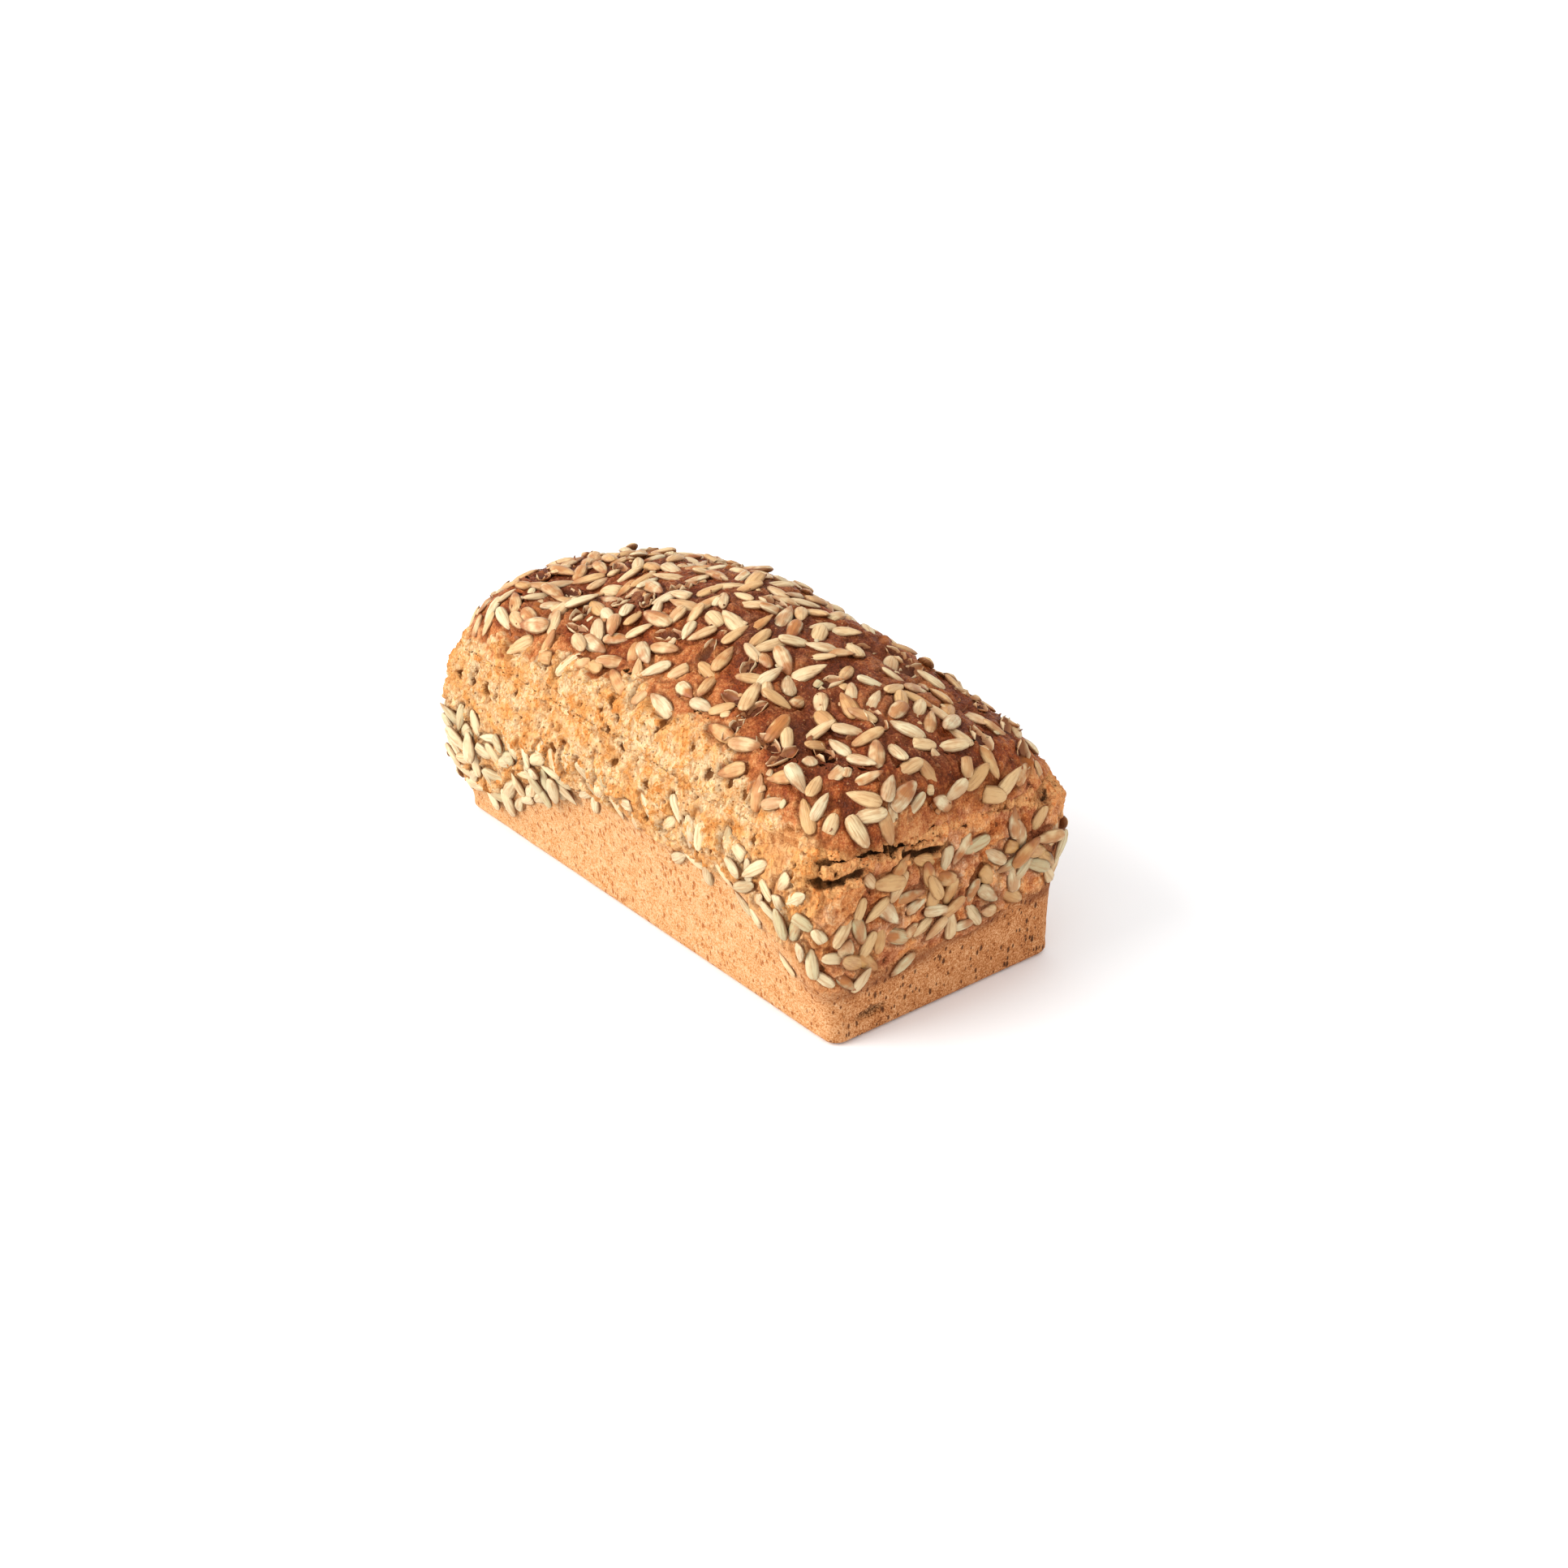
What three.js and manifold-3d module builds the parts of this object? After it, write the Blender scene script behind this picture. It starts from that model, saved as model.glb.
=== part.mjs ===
// Spelt bread: a whole tin loaf with sunflower kernels baked onto its top and into a band round its sides.
// Millimetres. X runs along the loaf with the near end at +X, Y runs across it with the left side at -Y,
// Z is up, and the flat base lies on z = 0 with the middle of the loaf over the origin.
import * as THREE from "three";
import { mergeVertices } from "three/addons/utils/BufferGeometryUtils.js";
import Module from "manifold-3d";

// The baking tin gives the base. Each wall leans out by its own bulge where the dough rose past the tin.
const BASE = { length: 197, width: 89, corner: 4.5, foot: 2.5 };
const BULGE = { left: 7.5, right: 3.6, far: 5.8, near: 2.3 };

// Heights at the corners: near left, near right, far right, far left.
const RIM = [17.5, 25.5, 20, 12];
const CRACK = [62.7, 59, 61.6, 63.7];
// How much higher the rim of the smooth wall runs along the middle of the two long sides.
const ARCH = { left: 22, right: 13, climbFrom: -0.75, climbTo: -0.2, fallFrom: 0.5 };

// The crack under the top crust, deep at the two ends and shallow along the sides.
const NOTCH = { depth: [2.2, 5.5, 3, 6.5], halfHeight: 2.2, alongSides: 0.25, endsFrom: 0.8 };
const LIP = { rise: 3, corner: 16.5 };
const SHOULDER = { radius: 21.5, sweep: THREE.MathUtils.degToRad(48.4), corner: 34.8 };
const CROWN = { height: 18, lean: 1.2, along: 1.9, across: 2.4, skew: 0.17 };

// Share of the bulge up the wall: 0 is the base, 1 the rim, 2 the crack and 3 the lip of the top crust.
const PROFILE = [
  [0, 0],
  [0.5, 0.1],
  [0.9, 0.34],
  [1.25, 0.8],
  [1.55, 1],
  [1.8, 0.85],
  [2, 0.55],
  [3, 0.38],
];
const LEVEL = { rim: 1, crack: 2, lip: 3, top: 4, middle: 5 };

// Slow waves that make the crust uneven. They fade out towards the base, so that the loaf stands flat.
const WAVES = { seed: 11, count: 9, shortest: 17, longest: 62, steepness: 0.006 };
const WAVE_SHARE = [
  [0, 0],
  [0.15, 0],
  [0.9, 0.35],
  [1.3, 1],
  [5, 1],
];
const HEART = new THREE.Vector3(0, 0, 46);

// Samples round the loaf and the levels that get a ring of them.
const CELLS = { along: 25, across: 12 };
const RINGS = [0, 0.03, 0.12, 0.5, 0.88, 1, 1.12, 1.28, 1.45, 1.62, 1.8, 1.93, 2, 2.4, 3, 3.33, 3.66, 4];

// Sunflower kernels: sizes, how deep they sit, and the beds that they lie in. A bed's widest is its largest
// area for one step of u and one of level, in square millimetres, which keeps the throws even over the bed.
const KERNEL = { length: [8.6, 13], width: [0.4, 0.5], thickness: [0.5, 0.6], sink: [0.3, 0.48] };
const KERNEL_SHAPE = { waist: 0.72, fullness: 0.75, stations: [0.14, 0.42, 0.76], sides: 4, swell: 1.08 };
const STACK = { near: 0.5, step: 0.34, most: 2 };
const LOOSE_TURN = 0.3;
const SETTLE = { reach: 0.4, share: 0.7, most: 2.4, levels: [0.3, 4.98] };
const BEDS = [
  { name: "top", seed: 301, count: 236, solid: 76, levels: [3.1, 4.98], gap: 5, widest: 8000 },
  { name: "band", seed: 302, count: 262, solid: 84, levels: [0.85, 2.1], gap: 4.3, widest: 10000 },
];
// Round the loaf from its far left corner: place, lowest and highest level of the band, share covered.
const BAND = [
  [0, 1, 1.62, 0.95],
  [0.27, 1, 1.55, 1],
  [0.36, 1.02, 1.52, 0.5],
  [0.42, 1.1, 1.6, 0.36],
  [0.5, 1.34, 1.74, 0.32],
  [0.84, 1.38, 1.76, 0.32],
  [0.93, 1.26, 1.74, 0.45],
  [1, 1, 1.62, 0.62],
  [1.08, 1, 1.54, 0.6],
  [1.17, 1.08, 1.84, 0.52],
  [1.6, 1.03, 1.88, 0.52],
  [1.9, 1.16, 1.84, 0.5],
  [2.1, 1, 1.5, 0.5],
  [2.5, 1, 1.4, 0.36],
  [2.9, 1, 1.5, 0.6],
  [3.1, 1, 1.66, 0.62],
  [3.8, 1, 1.6, 0.6],
  [4, 1, 1.62, 0.95],
];
// On top the kernels begin where the dark crust does, which is high on the left shoulder: place, lowest level.
// They lie closest on the far half, and thin out over the right side near the near end.
const TOP_FROM = [
  [0, 3.15],
  [0.1, 3.3],
  [0.32, 3.6],
  [0.5, 3.86],
  [0.66, 3.76],
  [0.78, 3.45],
  [0.95, 3.15],
  [1.1, 3.1],
  [2, 3.1],
  [2.25, 3.4],
  [2.8, 3.4],
  [3.05, 3.1],
  [4, 3.15],
];
const NEAR_HALF = { share: 0.62, from: -0.35, to: 0.4 };
const THIN_PATCH = { at: [0.52, 0.55], radius: 0.42, share: 0.3 };
const TRIES = 20000;
const DRAWS = 10;
const STEP = 1e-3;
const SLIVER = 0.02;
const WELD = 1e-4;

const COLOUR = { loaf: 0xb9814f };

function smooth(from, to, x) {
  const k = Math.min(1, Math.max(0, (x - from) / (to - from)));
  return k * k * (3 - 2 * k);
}

function clamp(x, low, high) {
  return Math.min(high, Math.max(low, x));
}

function mix([low, high], share) {
  return low + (high - low) * share;
}

// A straight line between the rows of a table, read at x in column `column`.
function between(table, x, column = 1) {
  let i = 0;
  while (i < table.length - 2 && x > table[i + 1][0]) i += 1;
  const share = clamp((x - table[i][0]) / (table[i + 1][0] - table[i][0]), 0, 1);
  return mix([table[i][column], table[i + 1][column]], share);
}

// A smooth curve through the rows of a table, with each slope taken from the two neighbours.
function curveThrough(table, x) {
  const last = table.length - 1;
  let i = 0;
  while (i < last - 1 && x >= table[i + 1][0]) i += 1;
  const slope = (k) => {
    const before = table[Math.max(k - 1, 0)];
    const after = table[Math.min(k + 1, last)];
    return (after[1] - before[1]) / (after[0] - before[0]);
  };
  const span = table[i + 1][0] - table[i][0];
  const k = (x - table[i][0]) / span;
  const stay = 1 - k;
  const heights = table[i][1] * (1 + 2 * k) * stay ** 2 + table[i + 1][1] * k * k * (3 - 2 * k);
  return heights + slope(i) * span * k * stay ** 2 - slope(i + 1) * span * k * k * stay;
}

// A small generator of random numbers from 0 to 1 that gives the same row of numbers for the same seed.
function randomFrom(seed) {
  let state = seed;
  return () => {
    state = (state + 0x6d2b79f5) | 0;
    let mixed = Math.imul(state ^ (state >>> 15), 1 | state);
    mixed = (mixed + Math.imul(mixed ^ (mixed >>> 7), 61 | mixed)) ^ mixed;
    return ((mixed ^ (mixed >>> 14)) >>> 0) / 4294967296;
  };
}

// u from 0 to 4 goes once round a square: the left side, the near end, the right side and the far end.
function squareAt(u) {
  const turn = ((u % 4) + 4) % 4;
  if (turn < 1) return [-1 + 2 * turn, -1];
  if (turn < 2) return [1, -1 + 2 * (turn - 1)];
  if (turn < 3) return [1 - 2 * (turn - 2), 1];
  return [-1, 1 - 2 * (turn - 3)];
}

function fromCorners([nearLeft, nearRight, farRight, farLeft], s, t) {
  const near = nearLeft * (1 - t) + nearRight * (1 + t);
  const far = farLeft * (1 - t) + farRight * (1 + t);
  return (near * (1 + s) + far * (1 - s)) / 4;
}

function rimHeight(s, t) {
  const climb = smooth(ARCH.climbFrom, ARCH.climbTo, s);
  const fall = 1 - smooth(ARCH.fallFrom, 1, s);
  const arch = t < 0 ? ARCH.left * climb * fall : ARCH.right * (1 - s * s);
  return fromCorners(RIM, s, t) + arch;
}

// A rounded rectangle at the given share of the bulge. Inside it, smaller ones shrink to the middle.
function planPoint(s, t, bulge, corner, inset) {
  const halfLength = BASE.length / 2 + (s < 0 ? BULGE.far : BULGE.near) * bulge - inset;
  const halfWidth = BASE.width / 2 + (t < 0 ? BULGE.left : BULGE.right) * bulge - inset;
  const size = Math.max(Math.abs(s), Math.abs(t));
  const radius = corner * size;
  const x = halfLength * s;
  const y = halfWidth * t;
  const innerX = clamp(x, radius - halfLength * size, halfLength * size - radius);
  const innerY = clamp(y, radius - halfWidth * size, halfWidth * size - radius);
  const reach = Math.hypot(x - innerX, y - innerY);
  const pull = reach > 0 ? Math.min(1, radius / reach) : 1;
  return [innerX + (x - innerX) * pull, innerY + (y - innerY) * pull];
}

function wallPoint(u, level) {
  const [s, t] = squareAt(u);
  const rim = rimHeight(s, t);
  const crack = fromCorners(CRACK, s, t);
  let z = rim * level;
  if (level > LEVEL.crack) z = crack + LIP.rise * (level - LEVEL.crack);
  else if (level > LEVEL.rim) z = rim + (crack - rim) * (level - LEVEL.rim);
  const atEnds = smooth(NOTCH.endsFrom, 1, Math.abs(s));
  const depth = fromCorners(NOTCH.depth, s, t) * mix([NOTCH.alongSides, 1], atEnds);
  const notch = depth * Math.exp(-(((z - crack) / NOTCH.halfHeight) ** 2));
  const lift = 1 - clamp(z / BASE.foot, 0, 1);
  const foot = BASE.foot * (1 - Math.sqrt(1 - lift * lift));
  const corner = mix([BASE.corner, LIP.corner], level / LEVEL.lip);
  const [x, y] = planPoint(s, t, curveThrough(PROFILE, level), corner, notch + foot);
  return [x, y, z];
}

function shoulderPoint(u, share) {
  const [s, t] = squareAt(u);
  const angle = share * SHOULDER.sweep;
  const corner = mix([LIP.corner, SHOULDER.corner], share);
  const bulge = PROFILE[PROFILE.length - 1][1];
  const [x, y] = planPoint(s, t, bulge, corner, SHOULDER.radius * (1 - Math.cos(angle)));
  return [x, y, fromCorners(CRACK, s, t) + LIP.rise + SHOULDER.radius * Math.sin(angle)];
}

function crownPoint(s, t) {
  const bulge = PROFILE[PROFILE.length - 1][1];
  const inset = SHOULDER.radius * (1 - Math.cos(SHOULDER.sweep));
  const [x, y] = planPoint(s, t, bulge, SHOULDER.corner, inset);
  const across = Math.abs(t - CROWN.skew * (1 - t * t));
  const dome = (1 - across ** CROWN.across) * (1 - Math.abs(s) ** CROWN.along);
  const edge = fromCorners(CRACK, s, t) + LIP.rise + SHOULDER.radius * Math.sin(SHOULDER.sweep);
  return [x, y, edge + (CROWN.height + CROWN.lean * s) * dome];
}

// Each wave is a plane sine wave through space: a direction, a length, a height and a start.
const waves = (() => {
  const random = randomFrom(WAVES.seed);
  return Array.from({ length: WAVES.count }, () => {
    const length = mix([WAVES.shortest, WAVES.longest], random());
    const turn = 2 * Math.PI * random();
    const rise = 2 * random() - 1;
    const flat = Math.sqrt(1 - rise * rise);
    const direction = new THREE.Vector3(flat * Math.cos(turn), flat * Math.sin(turn), rise);
    return {
      vector: direction.multiplyScalar((2 * Math.PI) / length),
      height: WAVES.steepness * length,
      start: 2 * Math.PI * random(),
    };
  });
})();

// Moves a point of the smooth form out or in by the waves, along the line from the loaf's heart.
function uneven([x, y, z], level) {
  const point = new THREE.Vector3(x + (BULGE.far - BULGE.near) / 2, y + (BULGE.left - BULGE.right) / 2, z);
  const swing = waves.reduce((sum, w) => sum + w.height * Math.sin(w.vector.dot(point) + w.start), 0);
  const outward = point.clone().sub(HEART);
  outward.x /= BASE.length ** 2;
  outward.y /= BASE.width ** 2;
  outward.z /= (2 * HEART.z) ** 2;
  return point.addScaledVector(outward.normalize(), swing * between(WAVE_SHARE, level));
}

function crustPoint(s, t) {
  return uneven(crownPoint(s, t), LEVEL.middle);
}

// The whole skin in two numbers: u goes round the loaf, and the level goes up the wall and in to the middle.
function skin(u, level) {
  if (level <= LEVEL.lip) return uneven(wallPoint(u, level), level);
  if (level <= LEVEL.top) return uneven(shoulderPoint(u, level - LEVEL.lip), level);
  const [s, t] = squareAt(u);
  return crustPoint(s * (LEVEL.middle - level), t * (LEVEL.middle - level));
}

function skinFrame(u, level) {
  const round = skin(u + STEP, level).sub(skin(u - STEP, level)).divideScalar(2 * STEP);
  const upward = skin(u, level + STEP).sub(skin(u, level - STEP)).divideScalar(2 * STEP);
  const normal = new THREE.Vector3().crossVectors(round, upward);
  const area = normal.length();
  const speed = { round: round.length(), upward: upward.length() };
  round.normalize();
  normal.normalize();
  return { point: skin(u, level), round, normal, side: normal.clone().cross(round), area, speed };
}

// How far a kernel sinks because its two ends would otherwise stand clear of the crust, as on a corner.
function settling(frame, u, level, length, turn) {
  const gaps = [-1, 1].map((end) => {
    const along = end * length * SETTLE.reach * Math.cos(turn);
    const across = end * length * SETTLE.reach * Math.sin(turn);
    const tip = frame.point.clone().addScaledVector(frame.round, along).addScaledVector(frame.side, across);
    const below = clamp(level + across / frame.speed.upward, ...SETTLE.levels);
    return tip.sub(skin(u + along / frame.speed.round, below)).dot(frame.normal);
  });
  return SETTLE.share * clamp((gaps[0] + gaps[1]) / 2, 0, SETTLE.most);
}

function shareCovered(bed, u, level) {
  if (bed.name === "top") {
    const [s, t] = squareAt(u).map((side) => side * Math.min(1, LEVEL.middle - level));
    if (level < between(TOP_FROM, u)) return 0;
    const apart = Math.hypot(s - THIN_PATCH.at[0], t - THIN_PATCH.at[1]) / THIN_PATCH.radius;
    if (apart < 1) return THIN_PATCH.share;
    return mix([1, NEAR_HALF.share], smooth(NEAR_HALF.from, NEAR_HALF.to, s));
  }
  const inBand = level > between(BAND, u, 1) && level < between(BAND, u, 2);
  return inBand ? between(BAND, u, 3) : 0;
}

// Throws kernels at a bed and keeps those that land where the bed has them, clear of the ones that lie there.
// A kernel that lands half on others lies a little higher, as in a small heap.
function scatter(bed) {
  const random = randomFrom(bed.seed);
  const kernels = [];
  for (let tries = 0; tries < TRIES && kernels.length < bed.count; tries += 1) {
    const draw = Array.from({ length: DRAWS }, random);
    const u = 4 * draw[0];
    const level = mix(bed.levels, draw[1]);
    const frame = skinFrame(u, level);
    if (draw[2] > (shareCovered(bed, u, level) * frame.area) / bed.widest) continue;
    if (kernels.some((other) => other.point.distanceTo(frame.point) < bed.gap)) continue;
    const length = mix(KERNEL.length, (draw[3] + draw[4]) / 2);
    const width = length * mix(KERNEL.width, draw[5]);
    const thickness = width * mix(KERNEL.thickness, draw[6]);
    const under = kernels.filter((other) => other.point.distanceTo(frame.point) < length * STACK.near).length;
    const lift = Math.min(under, STACK.most) * STACK.step;
    const turn = 2 * Math.PI * draw[8];
    const pitch = LOOSE_TURN * (2 * draw[9] - 1);
    const settle = settling(frame, u, level, length, turn);
    const height = thickness * (0.5 + lift - mix(KERNEL.sink, draw[7])) - settle;
    kernels.push({ ...frame, length, width, thickness, height, turn, pitch });
  }
  return kernels.sort((a, b) => b.length - a.length);
}

// Half-width of a kernel, as a share, from its blunt end at 0 to its pointed end at 1.
function kernelOutline(share) {
  return Math.sin(Math.PI * share ** KERNEL_SHAPE.waist) ** KERNEL_SHAPE.fullness;
}

function solidFrom(positions, faces) {
  const geometry = new THREE.BufferGeometry();
  geometry.setAttribute("position", new THREE.Float32BufferAttribute(positions, 3));
  geometry.setIndex(faces);
  const merged = mergeVertices(geometry, WELD);
  return new wasm.Manifold(
    new wasm.Mesh({
      numProp: 3,
      vertProperties: merged.attributes.position.array,
      triVerts: new Uint32Array(merged.index.array),
    }),
  );
}

// Two triangles for each cell between a ring and the next one up, seen from outside.
function bandFaces(lower, upper, sides) {
  const faces = [];
  for (let i = 0; i < sides; i += 1) {
    const next = (i + 1) % sides;
    faces.push(lower + i, lower + next, upper + next);
    faces.push(lower + i, upper + next, upper + i);
  }
  return faces;
}

function fanFaces(middle, ring, sides, outward) {
  const faces = [];
  for (let i = 0; i < sides; i += 1) {
    const pair = [ring + i, ring + ((i + 1) % sides)];
    faces.push(middle, ...(outward ? pair : pair.reverse()));
  }
  return faces;
}

function kernelSolid(kernel) {
  const { stations, sides, swell } = KERNEL_SHAPE;
  const points = [new THREE.Vector3(-kernel.length / 2, 0, 0)];
  for (const station of stations) {
    for (let i = 0; i < sides; i += 1) {
      const angle = (2 * Math.PI * i) / sides;
      const half = (kernelOutline(station) * swell) / 2;
      const y = half * kernel.width * Math.cos(angle);
      const z = half * kernel.thickness * Math.sin(angle);
      points.push(new THREE.Vector3(kernel.length * (station - 0.5), y, z));
    }
  }
  points.push(new THREE.Vector3(kernel.length / 2, 0, 0));
  const place = new THREE.Matrix4().makeBasis(kernel.round, kernel.side, kernel.normal);
  place.multiply(new THREE.Matrix4().makeRotationZ(kernel.turn));
  place.multiply(new THREE.Matrix4().makeRotationY(kernel.pitch));
  const centre = kernel.point.clone().addScaledVector(kernel.normal, kernel.height);
  place.premultiply(new THREE.Matrix4().makeTranslation(centre));
  const positions = points.flatMap((point) => point.applyMatrix4(place).toArray());
  const faces = fanFaces(0, 1, sides, false);
  for (let ring = 1; ring < stations.length; ring += 1) {
    faces.push(...bandFaces(1 + (ring - 1) * sides, 1 + ring * sides, sides));
  }
  const lastRing = 1 + (stations.length - 1) * sides;
  faces.push(...fanFaces(points.length - 1, lastRing, sides, true));
  return solidFrom(positions, faces);
}

// The bare loaf: rings up the wall and over the shoulder, a grid over the crown, and a flat base.
function bareLoaf() {
  const { along, across } = CELLS;
  const sides = 2 * (along + across);
  const placeOf = (i) => {
    if (i < along) return i / along;
    if (i < along + across) return 1 + (i - along) / across;
    if (i < 2 * along + across) return 2 + (i - along - across) / along;
    return 3 + (i - 2 * along - across) / across;
  };
  const positions = [];
  const faces = [];
  for (const level of RINGS) {
    for (let i = 0; i < sides; i += 1) positions.push(...skin(placeOf(i), level).toArray());
  }
  for (let ring = 1; ring < RINGS.length; ring += 1) {
    faces.push(...bandFaces((ring - 1) * sides, ring * sides, sides));
  }
  const baseMiddle = positions.length / 3;
  positions.push(0, 0, 0);
  faces.push(...fanFaces(baseMiddle, 0, sides, false));
  const grid = baseMiddle + 1;
  for (let i = 0; i <= along; i += 1) {
    for (let j = 0; j <= across; j += 1) {
      positions.push(...crustPoint((2 * i) / along - 1, (2 * j) / across - 1).toArray());
    }
  }
  for (let i = 0; i < along; i += 1) {
    for (let j = 0; j < across; j += 1) {
      const here = grid + i * (across + 1) + j;
      const ahead = here + across + 1;
      faces.push(here, ahead, ahead + 1);
      faces.push(here, ahead + 1, here + 1);
    }
  }
  return solidFrom(positions, faces);
}

// The largest body of a solid: what fusing sealed inside is filled, and loose scraps are dropped.
function largestBody(solid) {
  return solid.decompose().reduce((best, body) => (body.volume() > best.volume() ? body : best));
}

const wasm = await Module();
wasm.setup();

const kernels = BEDS.flatMap((bed) => scatter(bed).slice(0, bed.solid));
const fused = wasm.Manifold.union([bareLoaf(), ...kernels.map(kernelSolid)]);
const loafMesh = largestBody(fused.simplify(SLIVER)).getMesh();

const geometry = new THREE.BufferGeometry();
geometry.setAttribute("position", new THREE.BufferAttribute(loafMesh.vertProperties, loafMesh.numProp));
geometry.setIndex(new THREE.BufferAttribute(loafMesh.triVerts, 1));
geometry.computeVertexNormals();

const material = new THREE.MeshStandardMaterial({ color: COLOUR.loaf, roughness: 0.75, metalness: 0 });
const loaf = new THREE.Mesh(geometry, material);
loaf.name = "loaf";

const speltBread = new THREE.Group();
speltBread.add(loaf);

export default speltBread;
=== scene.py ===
# %% [markdown]
# # A spelt loaf with sunflower kernels
#
# The real object is a whole wholegrain spelt loaf, baked in a tin. It has four kinds of surface. The walls are
# smooth where the dough touched the tin. Above the tin the dough tore open as it rose, so a band of rough golden
# crumb runs round the belly. A cap of dark, reddish crust sits on top. Sunflower kernels are baked onto the cap
# and into a band round the sides.
#
# The loaf could be sculpted by hand, or made from a photograph scan. Here it is worked out with numpy instead:
# the form is a function of two numbers, u round the loaf and the level up its wall, so the crust, the kernels
# and the colours all speak of the same places.

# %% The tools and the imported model
import functools
import itertools
import math

import bpy
import mathutils
import numpy as np
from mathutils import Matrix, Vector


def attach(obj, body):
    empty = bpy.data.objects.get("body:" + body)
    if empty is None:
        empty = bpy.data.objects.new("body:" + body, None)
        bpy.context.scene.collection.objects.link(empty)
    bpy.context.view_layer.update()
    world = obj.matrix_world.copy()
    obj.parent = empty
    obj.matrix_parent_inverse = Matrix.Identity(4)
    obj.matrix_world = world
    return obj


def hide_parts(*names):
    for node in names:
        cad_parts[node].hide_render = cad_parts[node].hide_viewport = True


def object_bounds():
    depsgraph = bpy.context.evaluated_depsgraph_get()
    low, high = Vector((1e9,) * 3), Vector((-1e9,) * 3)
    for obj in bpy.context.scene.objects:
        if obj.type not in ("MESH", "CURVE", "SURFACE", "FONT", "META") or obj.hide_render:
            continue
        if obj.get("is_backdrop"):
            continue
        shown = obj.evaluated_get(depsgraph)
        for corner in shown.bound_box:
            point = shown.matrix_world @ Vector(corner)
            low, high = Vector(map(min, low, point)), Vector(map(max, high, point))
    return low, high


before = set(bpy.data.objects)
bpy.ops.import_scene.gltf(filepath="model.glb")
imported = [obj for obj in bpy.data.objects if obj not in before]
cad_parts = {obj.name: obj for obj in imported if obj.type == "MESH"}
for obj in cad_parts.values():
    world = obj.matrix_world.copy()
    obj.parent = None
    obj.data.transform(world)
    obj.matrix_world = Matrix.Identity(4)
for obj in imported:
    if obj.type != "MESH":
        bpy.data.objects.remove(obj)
cad_low, cad_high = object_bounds()
print("the packed loaf reaches from", tuple(cad_low), "to", tuple(cad_high))

# %% [markdown]
# ## Units and small helpers
#
# Blender works in metres, and a loaf is easier to think of in millimetres. Every size below is in millimetres,
# and a mesh is turned to metres once, when it is made. The helpers take whole arrays, so that a formula is
# written once and runs over a hundred thousand points.

# %% Units and small helpers
MM = 0.001


def smooth(low, high, x):
    """0 below low, 1 above high, and an S-shaped climb between them."""
    share = np.clip((x - low) / (high - low), 0, 1)
    return share * share * (3 - 2 * share)


def mix(low, high, share):
    """A straight line from low at share 0 to high at share 1."""
    return low + (high - low) * share


def bump(x, width):
    """1 at zero, falling on both sides as a bell of the given half-width."""
    return np.exp(-((x / width) ** 2))


def between(table, x, column=1):
    """Straight lines between the rows of a table, read at x."""
    rows = np.array(table, float)
    return np.interp(x, rows[:, 0], rows[:, column])


def curve_through(table, x):
    """A smooth curve through the rows of a table, each slope being that between the two neighbours."""
    places, values = np.array(table, float).T
    last = len(places) - 1
    i = np.clip(np.searchsorted(places, x, side="right") - 1, 0, last - 1)

    def slope(k):
        before, after = np.maximum(k - 1, 0), np.minimum(k + 1, last)
        return (values[after] - values[before]) / (places[after] - places[before])

    span = places[i + 1] - places[i]
    k = (x - places[i]) / span
    heights = values[i] * (1 + 2 * k) * (1 - k) ** 2 + values[i + 1] * k * k * (3 - 2 * k)
    return heights + slope(i) * span * k * (1 - k) ** 2 - slope(i + 1) * span * k * k * (1 - k)


def dot(a, b):
    return (a * b).sum(-1)


def unit(vectors):
    return vectors / np.linalg.norm(vectors, axis=-1, keepdims=True)


def random_numbers(seed, count):
    """A row of numbers from 0 to 1: a counter stepped by an odd constant and stirred by shifts and products."""
    state = np.uint32(seed) + np.arange(1, count + 1, dtype=np.uint32) * np.uint32(0x6D2B79F5)
    mixed = (state ^ (state >> np.uint32(15))) * (state | np.uint32(1))
    mixed = (mixed + (mixed ^ (mixed >> np.uint32(7))) * (mixed | np.uint32(61))) ^ mixed
    return (mixed ^ (mixed >> np.uint32(14))) / 4294967296.0


# %% [markdown]
# ## The form of the loaf
#
# The tin gives a rounded rectangle for a base. From there the outline grows and shrinks with the level: 0 is the
# base, 1 the rim where the smooth wall ends, 2 the crack under the cap and 3 the cap's lip. From 3 to 4 the
# outline follows an arc over the shoulder, and from 4 to 5 it shrinks to the middle of the domed crown. The same
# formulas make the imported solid, so the finished crust lies where the solid is.

# %% The sizes of the loaf
BASE = {"length": 197, "width": 89, "corner": 4.5, "foot": 2.5}
BULGE = {"left": 7.5, "right": 3.6, "far": 5.8, "near": 2.3}

# Heights at the corners: near left, near right, far right, far left.
RIM = (17.5, 25.5, 20, 12)
CRACK = (62.7, 59, 61.6, 63.7)
ARCH = {"left": 22, "right": 13, "climb_from": -0.75, "climb_to": -0.2, "fall_from": 0.5}
NOTCH = {"depth": (2.2, 5.5, 3, 6.5), "half_height": 2.2, "along_sides": 0.25, "ends_from": 0.8}
LIP = {"rise": 3, "corner": 16.5}
SHOULDER = {"radius": 21.5, "sweep": math.radians(48.4), "corner": 34.8}
CROWN = {"height": 18, "lean": 1.2, "along": 1.9, "across": 2.4, "skew": 0.17}

# The share of the bulge at each level of the wall.
PROFILE = [(0, 0), (0.5, 0.1), (0.9, 0.34), (1.25, 0.8), (1.55, 1), (1.8, 0.85), (2, 0.55), (3, 0.38)]
LIP_BULGE = PROFILE[-1][1]

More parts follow.
